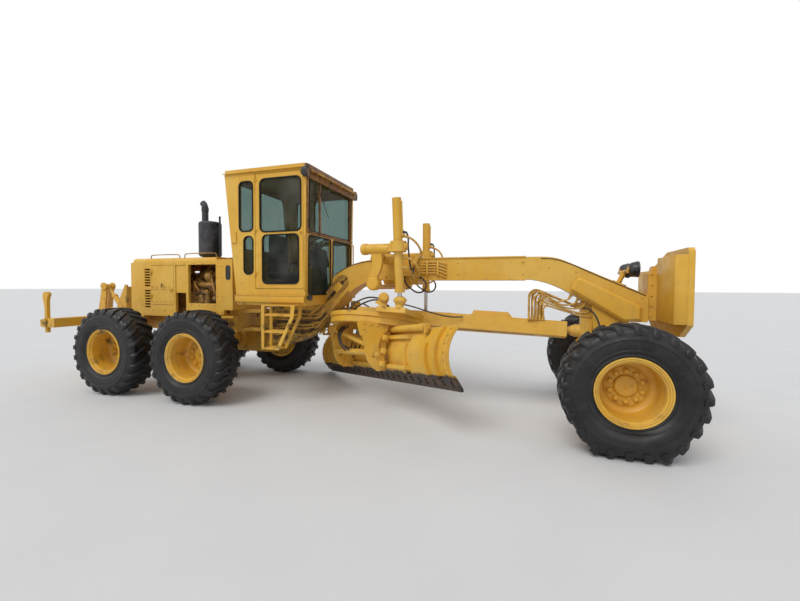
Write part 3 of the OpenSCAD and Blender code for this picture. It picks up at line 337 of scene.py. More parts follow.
SEAL = simple("window_seal", (0.004, 0.004, 0.004, 1), (0.012, 0.012, 0.012, 1), 9.0, (0.55, 0.8),
              shine=0.25)
RUSTY = simple("bare_rust", (0.11, 0.042, 0.016, 1), (0.30, 0.145, 0.05, 1), 12.0, (0.6, 0.85),
               dust=0.4, dust_colour=(0.52, 0.27, 0.03, 1), depth=0.003)
# A dark, oily finish that is dirt and painted shade: it colours the pieces that stand in for shade behind
# the engine, in the neck's recess and along the beam.
GRIME_AND_SHADE = simple("oily_dirt_and_shade", (0.030, 0.016, 0.008, 1), (0.13, 0.070, 0.024, 1), 9.0, (0.5, 0.75),
               dust=0.3, dust_colour=(0.30, 0.17, 0.035, 1), depth=0.003)
GREY = simple("console_grey", (0.035, 0.035, 0.035, 1), (0.09, 0.088, 0.084, 1), 6.0, (0.45, 0.7),
              dust=0.3)
VINYL = simple("seat_cover", (0.016, 0.015, 0.015, 1), (0.045, 0.040, 0.038, 1), 8.0, (0.38, 0.6),
               dust=0.3, dust_colour=(0.16, 0.13, 0.10, 1), depth=0.003)

print("plain finishes", len(bpy.data.materials))

# %% [markdown]
# The work lamps and their bracket are one solid with two finishes, so this paint changes along X.
# Window glass could be one clear shader, but old glass carries a film that scatters a little light,
# and a second, dull shader adds that in patches.

# %% paint of the lamps, and glass


def lamp_paint(name, bracket_x=4.525):
    """Black lamps on a rusty yellow bracket: the paint changes where the lamps' backs end."""
    made = black_paint(name)
    tree = made.node_tree
    where = node(tree, "TexCoord").outputs["Object"]
    along_x = node(tree, "SeparateXYZ", {0: where}).outputs[0]
    behind = span(tree, along_x, bracket_x + 0.005, bracket_x - 0.005)
    oily = mix(tree, span(tree, noise(tree, where, 9.0, 6.0), 0.45, 0.65), YELLOW, RUST)
    base = tree.nodes["Principled BSDF"].inputs["Base Color"]
    tree.links.new(mix(tree, behind, base.links[0].from_socket, oily), base)
    return made


LAMPS = lamp_paint("lamps_and_bracket")


def clear_glass(name, tint):
    """Window glass: clear, with a film of dust that scatters a little light."""
    made, tree, shader = start_material(name)
    where = node(tree, "TexCoord").outputs["Object"]
    film = span(tree, noise(tree, where, 2.2, 7.0, 0.62), 0.42, 0.72, 0.02, 0.10)
    shader.inputs["Base Color"].default_value = tint
    shader.inputs["Transmission Weight"].default_value = 1.0
    shader.inputs["IOR"].default_value = 1.10
    tree.links.new(span(tree, noise(tree, where, 3.0, 5.0), 0.3, 0.7, 0.02, 0.07),
                   shader.inputs["Roughness"])
    dull = node(tree, "BsdfDiffuse", {"Color": (0.55, 0.53, 0.48, 1)})
    both = node(tree, "MixShader", {0: film, 1: shader.outputs[0], 2: dull.outputs[0]})
    tree.links.new(both.outputs[0], tree.nodes["Material Output"].inputs["Surface"])
    return made


GLASS = clear_glass("window_glass", (0.33, 0.42, 0.40, 1))
LENS = clear_glass("lamp_glass", (0.92, 0.93, 0.90, 1))
print("finishes", len(bpy.data.materials))

# %% [markdown]
# Each solid of the frame gets the finish of its place: low parts dusty, the blade worn along its edge
# and darkened low down with painted shade and dirt, the neck darkened under the cab with painted
# shade and oil, the cab cleaner. The table names each finish once, with the solids that it covers;
# the meshes themselves are never touched.

# %% dress the frame's solids
FINISHES = (
    (PAINT, "hood radiator_guard engine_door_R engine_door_L ripper_barrel saddle push_plate "
            "lift_barrel_R lift_barrel_L drawbar"),
    (PAINT_LOW, "rear_frame tandem ripper ripper_rod cab_base front_axle lean_bracket_R "
                "lean_bracket_L knuckle_R knuckle_L lean_bar tie_rod shift_barrel"),
    (PAINT_CAB, "cab_frame cab_roof cab_door_R cab_door_L"),
    (PAINT_NECK, "front_frame"), (PAINT_BLADE, "turn_circle blade_brackets"),
    (PAINT_MOULD, "mouldboard"), (IRON, "engine"), (MUFFLER, "exhaust"), (LAMPS, "lamps"),
    (HOSE_PAINTED, "hoses"), (GLASS, "cab_glass door_glass_R door_glass_L"), (VINYL, "seat"),
    (GREY, "console"), (CHROME, "lift_rod_R lift_rod_L shift_rod"), (EDGE, "cutting_edge"),
)
FINISH = {name: finish for finish, names in FINISHES for name in names.split()}
for name, solid in NODES.items():
    finish = FINISH.get(name, RUBBER if name.startswith("tyre") else PAINT_RIM)
    if not solid.data.materials:
        solid.data.materials.append(finish)
    for slot in solid.material_slots:
        slot.material = finish
print("dressed", len(NODES), "solids")

# %% [markdown]
# The pieces that follow are modelled as by hand, with the operators of edit mode. An operator acts
# on all that is selected, so the first helper selects one piece alone, and the next goes into edit
# mode with only the chosen corners, edges or faces selected. The others leave edit mode, merge
# doubled corners, apply a modifier, and break sharp edges with a bevel.

# %% helpers for shaping


def turned(degrees, axis):
    """The matrix of a turn about an axis through the origin."""
    return Matrix.Rotation(math.radians(degrees), 4, axis)


def shift(place):
    """The matrix of a move to the place."""
    return Matrix.Translation(place)


def alone(piece):
    bpy.ops.object.select_all(action="DESELECT")
    piece.select_set(True)
    bpy.context.view_layer.objects.active = piece
    return piece


def edit(piece, kind="FACE", test=lambda item: True):
    """Edit mode with only the items of one kind that pass the test selected."""
    alone(piece)
    mesh = piece.data
    for group in (mesh.vertices, mesh.edges, mesh.polygons):
        group.foreach_set("select", [False] * len(group))
    group = {"VERT": mesh.vertices, "EDGE": mesh.edges, "FACE": mesh.polygons}[kind]
    for item in group:
        item.select = bool(test(item))
    bpy.context.tool_settings.mesh_select_mode = (kind == "VERT", kind == "EDGE", kind == "FACE")
    bpy.ops.object.mode_set(mode="EDIT")


def done(piece, smooth=None):
    """Back to object mode; smooth is the angle above which an edge stays sharp."""
    if bpy.context.mode != "OBJECT":
        bpy.ops.object.mode_set(mode="OBJECT")
    alone(piece)
    if smooth:
        bpy.ops.object.shade_smooth_by_angle(angle=math.radians(smooth))
    return piece


def tidy_mesh(piece, gap=0.0002):
    edit(piece)
    bpy.ops.mesh.remove_doubles(threshold=gap)
    bpy.ops.mesh.select_all(action="SELECT")
    bpy.ops.mesh.normals_make_consistent(inside=False)
    return done(piece)


def modify(piece, kind, **settings):
    """Adds a modifier and applies it."""
    alone(piece)
    made = piece.modifiers.new(kind.lower(), kind)
    for key, value in settings.items():
        setattr(made, key, value)
    bpy.ops.object.modifier_apply(modifier=made.name)
    return piece


def break_edges(piece, width, segments=1, angle=50):
    """Bevels each edge that is sharper than the angle, as a fitter files it."""
    return modify(piece, "BEVEL", width=width, segments=segments, limit_method="ANGLE",
                  angle_limit=math.radians(angle))


print("shaping helpers ready")

# %% [markdown]
# A finished shape is often needed in several places. A linked copy would be lighter, but here each
# copy has a mesh of its own, because its place is baked into that mesh. The last helper settles a
# finished piece: it joins its parts, bakes its place, names and paints it, and lets it ride on its
# body, so that a joint that moves the body moves the piece too.

# %% helpers for copies and for settling


def copied(piece, matrix):
    """A copy with a mesh of its own, moved by the matrix; a mirrored one is turned right side out."""
    twin = piece.copy()
    twin.data = piece.data.copy()
    bpy.context.collection.objects.link(twin)
    twin.data.transform(matrix)
    if matrix.determinant() < 0:
        twin.data.flip_normals()
    return twin


def moved(piece, matrix):
    """Moves the mesh itself, while the object stays at the origin."""
    piece.data.transform(matrix)
    return piece


def discard(*pieces):
    for piece in pieces:
        bpy.data.objects.remove(piece)


def spread(piece, places):
    """A copy of the piece at each place; the first one, at the origin, goes."""
    made = [copied(piece, place) for place in places]
    discard(piece)
    return made


def joined(pieces):
    bpy.ops.object.select_all(action="DESELECT")
    for piece in pieces:
        piece.select_set(True)
    bpy.context.view_layer.objects.active = pieces[0]
    if len(pieces) > 1:
        bpy.ops.object.join()
    return bpy.context.view_layer.objects.active


def settle(piece, name, finish, body="front_frame", swaps=()):
    """Joins the piece if it is a list, bakes its place into its mesh, names and paints it, and lets
    it ride on its body in place of the nodes that it swaps."""
    piece = alone(joined(piece) if isinstance(piece, list) else piece)
    bpy.ops.object.transform_apply(location=True, rotation=True, scale=True)
    piece.name = piece.data.name = name
    piece.data.materials.clear()
    piece.data.materials.append(finish)
    if swaps:
        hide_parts(*swaps)
    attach(piece, body)
    return piece


print("settling helpers ready")

# %% [markdown]
# Two starts serve again and again. A round part is a section that is spun, as on a lathe; where the
# section lies along the axis, that edge is deleted first, so that no inner wall is left. A bent bar
# is a plane drawn out in steps, whose corners are then laid where they belong by their row, which
# follows a path more closely than bending a finished block would.

# %% lathe and extruded plane


def lathe(section, steps, smooth=35):
    """Spins a section, given as radius and place along Y, about the Y axis."""
    bpy.ops.mesh.primitive_circle_add(vertices=len(section), fill_type="NOTHING")
    ring = bpy.context.object
    for corner, (radius, along) in zip(ring.data.vertices, section):
        corner.co = (radius, along, 0)
    on_axis = [i for i, point in enumerate(section) if abs(point[0]) < 1e-6]
    if on_axis:
        edit(ring, "EDGE", lambda side: all(i in on_axis for i in side.vertices))
        bpy.ops.mesh.delete(type="EDGE_FACE")
        done(ring)
    edit(ring, "VERT")
    bpy.ops.mesh.spin(steps=steps, angle=math.tau, center=(0, 0, 0), axis=(0, 1, 0))
    done(ring)
    return done(tidy_mesh(ring), smooth)


def extruded_plane(steps):
    """A plane drawn out by one unit for each step; its corners are then placed by their row."""
    bpy.ops.mesh.primitive_plane_add(size=2)
    made = bpy.context.object
    bpy.ops.object.mode_set(mode="EDIT")
    for step in range(steps):
        bpy.ops.mesh.extrude_region_move(TRANSFORM_OT_translate={"value": (0, 0, 1)})
    bpy.ops.object.mode_set(mode="OBJECT")
    return made


print("starts ready")

# %% [markdown]
# The tyres are the darkest and most shaped things on the machine: six traction tyres on wide rims,
# 1.37 m tall, with slanted bars that start at the middle of the tread and run out over the
# shoulders. The casing could be a torus, but its sidewall has ribs and steps, so it is one spun
# section with all of them in it.

# %% tyre casing
TYRE_R = 0.6795
SIDEWALL = [  # radius, half width, from the bead to the tread's middle
    (0.330, 0.150), (0.330, 0.182), (0.352, 0.1835), (0.364, 0.190), (0.371, 0.197), (0.380, 0.197),
    (0.386, 0.193), (0.402, 0.203), (0.418, 0.211), (0.424, 0.216), (0.430, 0.2125), (0.452, 0.219),
    (0.480, 0.2225), (0.510, 0.2225), (0.534, 0.2205), (0.539, 0.2235), (0.546, 0.219),
    (0.575, 0.2145), (0.600, 0.208), (0.622, 0.198), (0.636, 0.184), (0.644, 0.162), (0.648, 0.120),
    (0.6495, 0.060), (0.650, 0.010)]
casing_section = [(r, -y) for r, y in SIDEWALL] + [(r, y) for r, y in reversed(SIDEWALL)]
casing = lathe(casing_section, 96, 40)
print("casing", len(casing.data.polygons), "faces")

# %% [markdown]
# A tread bar is a plane that is extruded six times along its own path and bent round the tyre, then
# bevelled, copied 24 times on each side and joined to the casing. One modelled bar costs little, and
# its copies keep the tread's outline true, which bump could not.

# %% one tread bar
BAR = [  # place along Y, foot radius, top radius, turn about the axle in degrees, half width
    (0.004, 0.640, TYRE_R - 0.001, 0.0, 0.021), (0.045, 0.640, TYRE_R, 1.6, 0.024),
    (0.095, 0.638, TYRE_R, 4.2, 0.027), (0.150, 0.634, TYRE_R - 0.001, 7.6, 0.030),
    (0.192, 0.622, TYRE_R - 0.008, 9.6, 0.031), (0.2115, 0.600, TYRE_R - 0.040, 10.4, 0.030),
    (0.2185, 0.578, TYRE_R - 0.082, 10.7, 0.026)]
BARS = 24
FOOT_FLARE = 1.28  # how much wider a bar's foot is than its top

bar = extruded_plane(len(BAR) - 1)
for corner in bar.data.vertices:
    along, foot, top, turn, half = BAR[round(corner.co.z)]
    radius = top if corner.co.y > 0 else foot
    flare = 1.0 if corner.co.y > 0 else FOOT_FLARE
    angle = math.radians(turn) + corner.co.x * half * flare / radius
    corner.co = (radius * math.sin(angle), along, radius * math.cos(angle))
done(break_edges(tidy_mesh(bar), 0.0055, 1, 40), 40)
bars = spread(bar, [Matrix.Rotation((i + side / 4) * math.tau / BARS, 4, "Y")
                    @ Matrix.Diagonal((1, side, 1, 1)) for i in range(BARS) for side in (-1, 1)])
tyre = joined([casing] + bars)
print("tyre", len(tyre.data.polygons), "faces")

# %% [markdown]
# The front tyre nearest to the camera has lost most of its air: it stands on a flat as wide as the
# hub, its tread is pressed level with the ground and its sidewall bulges out below the rim. A
# lattice could press it, but here each corner is moved by a formula, which keeps the flat level:
# what would sink below the ground is lifted, less and less towards the rim, and what is squeezed
# goes outwards.

# %% set the wheels' rubber
WHEELS = {"1R": (-2.905, -1), "1L": (-2.905, 1), "2R": (-1.295, -1), "2L": (-1.295, 1),
          "3R": (4.36, -1), "3L": (4.36, 1)}
TRACK = 1.147
AXLE = 0.685
BULGE = 0.062
RIM_EDGE, RUBBER_DEPTH = 0.345, 0.29


def wheel_place(x, side):
    """The place of a wheel that was made at the origin with its outer side towards -Y."""
    return shift((x, side * TRACK, AXLE)) @ Matrix.Diagonal((1, -side, 1, 1))


def soften(piece, centre_x, centre_y):
    """Presses a tyre flat where it stands and lets its sidewall swell above the print."""
    lowest = AXLE - TYRE_R
    for corner in piece.data.vertices:
        x, y, z = corner.co
        dx, dz = x - centre_x, z - AXLE
        radius = math.hypot(dx, dz)
        if dz > 0 or radius < RIM_EDGE or abs(dx) > 0.62:
            continue
        rubber = min(1.0, (radius - RIM_EDGE) / RUBBER_DEPTH)
        print_w = 1 - min(1.0, max(0.0, (abs(dx) - 0.26) / 0.26))
        print_w = print_w * print_w * (3 - 2 * print_w)
        arc = TYRE_R - math.sqrt(max(0.0, TYRE_R ** 2 - min(abs(dx), 0.5) ** 2))
        z -= arc * print_w * rubber ** 2
        near = math.exp(-((dx / 0.34) ** 2)) * min(1.0, -dz / 0.45)
        z += 0.030 * near * math.sin(math.pi * rubber)
        swell = math.sin(math.pi * min(1.0, rubber * 0.92)) ** 1.5 * near
        pinch = math.exp(-((rubber - 0.20) / 0.09) ** 2) * near
        edge = min(1.0, abs(y - centre_y) / 0.19)
        y += math.copysign((BULGE * swell - 0.014 * pinch) * edge, y - centre_y)
        corner.co = (x, y, max(z, lowest - 0.001))


for name, (x, side) in WHEELS.items():
    made = copied(tyre, wheel_place(x, side) @ turned(x * 37 % 15, "Y"))
    if name == "3R":
        soften(made, x, side * TRACK)
        print("softened tyre stands at", round(min(v.co.z for v in made.data.vertices), 4))
    settle(made, "tyre_rubber_" + name, RUBBER, "wheel_" + name, ["tyre_" + name])
discard(tyre)

# %% [markdown]
# The rims are pressed and welded steel: a rolled barrel with a thick lip, a loose lock ring in its
# gutter, and a deep disc that carries the hub. One spun section holds all of that; the hub cap is a
# second one, and ten capped studs and two small plugs are set on them.

# %% rims
BARREL = [  # radius, place along Y; the outer side of the wheel is -Y
    (0.0, 0.138), (0.118, 0.138), (0.124, 0.133), (0.198, 0.132), (0.202, 0.120), (0.209, 0.120),
    (0.212, 0.130), (0.222, 0.135), (0.238, 0.134), (0.252, 0.131), (0.272, 0.122), (0.286, 0.108),
    (0.291, 0.088), (0.292, 0.040), (0.293, -0.060), (0.294, -0.140), (0.297, -0.158),
    (0.303, -0.166), (0.311, -0.168), (0.3125, -0.176), (0.3150, -0.176), (0.3165, -0.184),
    (0.320, -0.190), (0.330, -0.191), (0.332, -0.186), (0.334, -0.186), (0.336, -0.193),
    (0.341, -0.1975), (0.348, -0.198), (0.353, -0.196), (0.3555, -0.190),
    (0.3555, -0.184), (0.350, -0.180), (0.342, -0.180), (0.336, -0.170), (0.330, -0.160),
    (0.326, 0.160), (0.340, 0.178), (0.3555, 0.184), (0.3555, 0.196), (0.340, 0.198),
    (0.318, 0.196), (0.306, 0.188), (0.302, 0.160), (0.0, 0.158)]
HUB = [(0.0, 0.104), (0.030, 0.104), (0.034, 0.108), (0.090, 0.108), (0.104, 0.111),
       (0.109, 0.116), (0.114, 0.120), (0.116, 0.126), (0.116, 0.140), (0.0, 0.140)]
STUD_RING, STUDS = 0.162, 10


def stud(radius, length, sides, round_edge):
    """A round-capped nut along Y, its foot at Y = 0 and its cap towards -Y."""
    bpy.ops.mesh.primitive_cylinder_add(vertices=sides, radius=radius, depth=length,
                                        location=(0, -length / 2, 0),
                                        rotation=(math.radians(90), 0, 0))
    made = alone(bpy.context.object)
    bpy.ops.object.transform_apply(location=True, rotation=True)
    edit(made, "FACE", lambda face: face.center.y < -length * 0.9)
    bpy.ops.mesh.bevel(offset=round_edge, segments=2, affect="EDGES")
    return done(made, 50)


angles = [math.radians(360 / STUDS * (i + 0.5)) for i in range(STUDS)]
spots = [shift((STUD_RING * math.cos(a), 0.1325, STUD_RING * math.sin(a))) for a in angles]
rim = joined([lathe(BARREL, 72, 32), lathe(HUB, 48, 32)]
             + spread(stud(0.0260, 0.038, 16, 0.009), spots)
             + spread(stud(0.036, 0.010, 18, 0.003), spots)
             + spread(stud(0.016, 0.014, 6, 0.002), [shift((0.0, 0.105, 0.0)),
                      shift((0.052, 0.110, 0.012)) @ Matrix.Scale(0.6, 4)]))
print("a rim has", len(rim.data.polygons), "faces")
for name, (x, side) in WHEELS.items():
    finish = PAINT_RIM if name[0] == "3" else PAINT_RIM_REAR
    settle(copied(rim, wheel_place(x, side)), "rim_steel_" + name, finish, "wheel_" + name,
           ["rim_" + name])
discard(rim)

# %% [markdown]
# The cab's windows sit in black rubber strips that grip the panel's edge on both sides. Each strip
# starts as a plane the size of its window, its corners are rounded with a vertex bevel, an inset
# leaves a band whose middle is deleted, and Solidify gives it thickness. Only then is it laid
# against its wall, since the front and rear walls lean.

# %% window seals
CAB_Y = 0.780
CAB_X0, CAB_X1, CAB_Z0, CAB_Z1 = -1.050, 0.370, 1.490, 3.480
FRONT_LEAN, REAR_LEAN = 0.025, 0.210


def lean(z):
    """How far up the cab's wall a height lies: 1 at its foot, 0 below the roof."""
    return (CAB_Z1 - 0.08 - z) / (CAB_Z1 - 0.08 - CAB_Z0)


def lay_side(side):
    return lambda a, z, d: (a - 2.1, side * (CAB_Y + d), z)


def lay_front(a, z, d):
    return (CAB_X1 - FRONT_LEAN * lean(z) + d, a, z)


def lay_rear(a, z, d):
    return (CAB_X0 + REAR_LEAN * lean(z) - d, a, z)


def rounded_panel(middle, size, corner, segments):
    """A flat panel with round corners, left in edit mode with its face selected."""
    bpy.ops.mesh.primitive_plane_add(size=1, location=(*middle, 0))
    panel = bpy.context.object
    panel.scale = (*size, 1)
    alone(panel)
    bpy.ops.object.transform_apply(location=True, scale=True)
    edit(panel)
    bpy.ops.mesh.bevel(offset=corner, segments=segments, affect="VERTICES")
    return panel


def seal(opening, lay, wide=0.021, thick=0.016, grow=0.011):
    """A rubber strip round an opening: first and last place along the wall, bottom, top, corner."""
    a0, a1, z0, z1, corner = opening
    strip = rounded_panel(((a0 + a1) / 2, (z0 + z1) / 2), (a1 - a0 + 2 * grow, z1 - z0 + 2 * grow),
                          corner + grow, 6)
    bpy.ops.mesh.inset(thickness=wide)
    bpy.ops.mesh.delete(type="FACE")
    done(strip)
    modify(strip, "SOLIDIFY", thickness=thick, offset=1)
    break_edges(strip, 0.004, 2)
    low = min(corner.co.z for corner in strip.data.vertices)
    for corner in strip.data.vertices:
        corner.co = lay(corner.co.x, corner.co.y, corner.co.z - low - 0.006)
    return done(tidy_mesh(strip, 0.00005), 40)


SIDE_OPENINGS = [(1.320, 1.560, 2.540, 3.275, 0.070), (1.400, 1.560, 1.900, 2.460, 0.070)]
DOOR_OPENINGS = [(1.690, 2.380, 2.520, 3.290, 0.080), (1.730, 2.340, 1.760, 2.470, 0.070)]
FRONT_OPENINGS = [(-0.700, 0.700, 2.520, 3.340, 0.060), (-0.700, -0.040, 1.600, 2.460, 0.050),
                  (0.040, 0.700, 1.600, 2.460, 0.050)]
REAR_OPENING = (-0.700, 0.700, 2.300, 3.330, 0.070)
fixed = [seal(o, lay_side(side)) for o in SIDE_OPENINGS for side in (-1, 1)]
fixed += [seal(o, lay_front) for o in FRONT_OPENINGS] + [seal(REAR_OPENING, lay_rear)]
settle(fixed, "cab_window_seals", SEAL)
for side, letter in ((-1, "R"), (1, "L")):
    strips = [seal(o, lay_side(side)) for o in DOOR_OPENINGS]
    settle(strips, "door_window_seals_" + letter, SEAL, "cab_door_" + letter)
print("seals round", len(fixed) + 2 * len(DOOR_OPENINGS), "windows")

# %% [markdown]
# Thin round things - rails, pipes, hoses, wiper arms - are drawn as a Bezier curve through a few
# points, given a round section, and turned into a mesh. Where the bends should be tight, the
# points stand close together.

# %% pipes and rails


def pipe(points, radius, fine=6, sides=10):
    """A round bar through the points, closed at both ends, as a mesh."""
    bpy.ops.curve.primitive_bezier_curve_add(location=(0, 0, 0))
    line = bpy.context.object
    spline = line.data.splines[0]
    spline.bezier_points.add(len(points) - 2)
    for knot, point in zip(spline.bezier_points, points):
        knot.co = point
        knot.handle_left_type = knot.handle_right_type = "AUTO"
    line.data.dimensions = "3D"
    line.data.resolution_u = fine
    line.data.bevel_depth = radius
    line.data.bevel_resolution = max(0, sides // 4 - 1)
    line.data.use_fill_caps = True
    alone(line)
    bpy.ops.object.convert(target="MESH")
    return done(tidy_mesh(bpy.context.object, 0.00005), 50)


def rail(a, b, height, radius=0.008, bend=0.03):
    """A grab rail that stands on a and b: two short posts with round corners and a bar."""
    a, b = Vector(a), Vector(b)
    up = Vector((0, 0, height))
    along = (b - a).normalized() * bend
    lift = Vector((0, 0, bend))
    return pipe([a, a + up - lift, a + up - lift * 0.3 + along * 0.3, a + up + along,
                 b + up - along, b + up - lift * 0.3 - along * 0.3, b + up - lift, b], radius)


HOOD_Y, HOOD_TOP = 0.550, 2.150
rails = [rail((x0, side * 0.500, HOOD_TOP), (x1, side * 0.500, HOOD_TOP), height)
         for side in (-1, 1) for x0, x1, height in ((-2.890, -2.250, 0.095), (-2.140, -1.480, 0.105))]
settle(rails, "hood_rails", IRON, "rear_frame")
print("rails", len(rails))

# %% [markdown]
# The driver's place shows through the glass: a dark, sprung seat with a sewn cushion and back, and
# two armrests. A cushion is a subdivided cube whose corners are pulled in to a round outline,
# crowned in the middle, and pressed in along its sewn channels. The pedestal below is a bellows.

# %% seat


def cushion(low, high, crown, channels, axis=0, face=2):
    """A stuffed pad between two corners; channels is how many sewn lines cross its face."""
    low, high = Vector(low), Vector(high)
    size, middle = high - low, (high + low) / 2
    bpy.ops.mesh.primitive_cube_add(size=1, location=(0, 0, 0))
    pad = bpy.context.object
    edit(pad)
    bpy.ops.mesh.subdivide(number_cuts=15)
    done(pad)
    flat = [i for i in range(3) if i != face]
    for corner in pad.data.vertices:
        u = [2 * corner.co[i] for i in range(3)]
        bulge = math.sqrt(max(0.0, (1 - u[flat[0]] ** 4) * (1 - u[flat[1]] ** 4)))
        pull = 1 - 0.06 * (u[flat[0]] ** 4) * (u[flat[1]] ** 4)
        for i in flat:
            u[i] *= pull * (1 - 0.05 * abs(u[face]) ** 3)
        thick = 0.62 + 0.38 * bulge
        groove = 0.0
        if channels:
            wave = abs(math.sin(math.pi * (u[axis] + 1) / 2 * (channels + 1)))
            groove = crown * 0.8 * math.exp(-(wave / 0.16) ** 2) * (1 if abs(u[axis]) < 0.95 else 0)
        u[face] = u[face] * thick
        if u[face] > 0.3:
            u[face] -= groove / size[face] * 2
        corner.co = tuple(middle[i] + u[i] * size[i] / 2 for i in range(3))
    modify(pad, "SUBSURF", levels=1, render_levels=1)
    return done(pad, 60)


bpy.ops.mesh.primitive_cylinder_add(vertices=24, radius=0.19, depth=0.34,
                                    location=(-0.50, 0, CAB_Z0 + 0.172), end_fill_type="NGON")
pedestal = bpy.context.object
edit(pedestal, "FACE", lambda face: face.normal.z > 0.9)
for step in range(6):
    narrow = 0.86 if step % 2 == 0 else 1 / 0.86
    bpy.ops.mesh.extrude_region_move(TRANSFORM_OT_translate={"value": (0, 0, 0.0005)})
    bpy.ops.transform.resize(value=(narrow, narrow, 1))
done(pedestal)
ring = sorted({round(corner.co.z, 4) for corner in pedestal.data.vertices})
for corner in pedestal.data.vertices:
    layer = ring.index(round(corner.co.z, 4))
    corner.co.z = -0.17 + 0.34 * layer / (len(ring) - 1)
settle(done(pedestal, 50), "seat_bellows", GREY, swaps=["seat"])
pads = {
    "seat_cushion": cushion((-0.680, -0.255, 1.835), (-0.205, 0.255, 1.965), 0.022, 3, 1),
    "seat_back": cushion((-0.700, -0.235, 1.945), (-0.585, 0.235, 2.570), 0.020, 3, 2, 0),
    "armrest_R": cushion((-0.650, -0.315, 2.078), (-0.300, -0.248, 2.140), 0.006, 0),
    "armrest_L": cushion((-0.650, 0.248, 2.078), (-0.300, 0.315, 2.140), 0.006, 0),
}
for name, pad in pads.items():
    settle(pad, name, VINYL, swaps=["seat"])
arms = [pipe([(-0.640, s * 0.262, 1.90), (-0.640, s * 0.278, 2.00), (-0.600, s * 0.281, 2.085)],
             0.012) for s in (-1, 1)]
settle(arms, "armrest_posts", BLACK)
print("seat made of", len(pads) + 2, "pieces")

# %% [markdown]
# Small things on the cab: the wiper with its arm and blade on the windscreen, a rain gutter along
# each side of the roof, a grab bar beside each door, the raised ribs of the step treads, the rusty
# frame of the windscreen and the sills. Thin bent things are pipes, and the rest are bevelled
# blocks, because a folded plate shows little more than its edges.

# %% cab details


def slab(size, place, edge=0.003):
    """A bevelled block, the start of trims and plates."""
    bpy.ops.mesh.primitive_cube_add(size=1, location=place)
    made = alone(bpy.context.object)
    made.scale = size
    bpy.ops.object.transform_apply(location=True, scale=True)
    return done(break_edges(made, edge, 2, 40), 30)


wiper = [pipe([(0.405, -0.120, 3.335), (0.402, -0.180, 3.20), (0.394, -0.330, 2.98)], 0.006),
         pipe([(0.392, -0.170, 2.78), (0.394, -0.330, 2.97), (0.400, -0.480, 3.16)], 0.005),
         slab((0.05, 0.07, 0.05), (0.398, -0.115, 3.345), 0.008)]
settle(wiper, "wiper", BLACK)
gutters = [slab((1.44, 0.016, 0.014), (-0.340, side * 0.806, 3.408), 0.004) for side in (-1, 1)]
settle(gutters, "roof_gutters", PAINT_CAB)
bars = [pipe([(0.345, s * 0.792, 1.66), (0.347, s * 0.812, 1.68), (0.349, s * 0.818, 1.75),
              (0.358, s * 0.818, 2.38), (0.359, s * 0.812, 2.44), (0.359, s * 0.792, 2.46)],
             0.009) for s in (-1, 1)]
settle(bars, "cab_grab_bars", PAINT_CAB)
STEPS = ((1.310, -0.210, 0.230), (1.070, -0.215, 0.120), (0.830, -0.220, 0.010))  # top, back, front
treads = [slab((x1 - x0 - 0.03, 0.010, 0.010), ((x0 + x1) / 2, side * (0.811 + 0.035 * k), z + 0.0165),
               0.002) for side in (-1, 1) for z, x0, x1 in STEPS for k in range(5)]
settle(treads, "step_treads", PAINT_LOW)
posts = [slab(size, place, edge) for size, place, edge in (
    ((0.030, 0.030, 0.90), (0.377, -0.420, 2.935), 0.006),
    ((0.026, 0.022, 0.90), (0.377, 0.620, 2.935), 0.005),
    ((0.024, 1.46, 0.030), (0.366, 0, 2.500), 0.005),
    ((0.020, 0.030, 0.90), (0.372, -0.760, 2.935), 0.005),
    ((0.016, 1.60, 0.150), (0.398, 0, 3.330), 0.004))]
settle(posts, "windscreen_frame", RUSTY)
sills = [slab((1.195, thick, tall), (-0.252, side * y, z)) for side in (-1, 1)
         for thick, tall, y, z in ((0.014, 0.095, 0.807, 1.530), (0.022, 0.012, 0.811, 1.583))]
settle(sills, "cab_sills", PAINT)
print("wiper, gutters, bars and", len(treads), "tread ribs")

# %% [markdown]
# A work lamp hangs at each upper corner of the windscreen and a smaller one sits at each lower
# corner. Shell and glass are two spun sections, because both are round, scaled for the small pair.

# %% lamps on the cab
SHELL = [(0, 0.075), (0.040, 0.075), (0.070, 0.040), (0.078, -0.010), (0.082, -0.012),
         (0.082, -0.024), (0.074, -0.024), (0.070, -0.012), (0.0, -0.010)]
PANE = [(0, -0.030), (0.040, -0.028), (0.070, -0.020), (0.0735, -0.014), (0, -0.013)]
places = [shift((x, side * y, z)) @ turned(90, "Z") @ Matrix.Scale(size, 4)
          for x, y, z, size in ((0.385, 0.800, 3.335, 1.0), (0.400, 0.735, 1.560, 0.55))
          for side in (-1, 1)]
settle(spread(lathe(SHELL, 28), places), "cab_lamps", BLACK)
settle(spread(lathe(PANE, 28), places), "cab_lamp_glasses", LENS)
print("cab lamps", len(places))

# %% [markdown]
# Bolts make a machine believable, and there are hundreds of them. One hexagonal head with its
# washer has some forty faces; it is copied to every place of a short table and the copies of one
# body are joined, each turned a little, since no fitter lines them up.

# %% bolts


def bolt_head(radius=0.012):
    """A hexagonal head on a washer, its foot at the origin, looking along +Z."""
    parts = []
    for sides, wide, tall, middle in ((6, 1.0, 0.8, 0.62), (12, 1.35, 0.24, 0.12)):
        bpy.ops.mesh.primitive_cylinder_add(vertices=sides, radius=radius * wide,
                                            depth=radius * tall, location=(0, 0, radius * middle))
        parts.append(alone(bpy.context.object))
        bpy.ops.object.transform_apply(location=True)
    break_edges(parts[0], radius * 0.12)
    return joined(parts)


HEAD = bolt_head()
SIDES = ((-1, "-y"), (1, "+y"))
TOWARDS = {"-x": turned(-90, "Y"), "+y": turned(-90, "X"), "-y": turned(90, "X"),
           "+z": Matrix.Identity(4)}


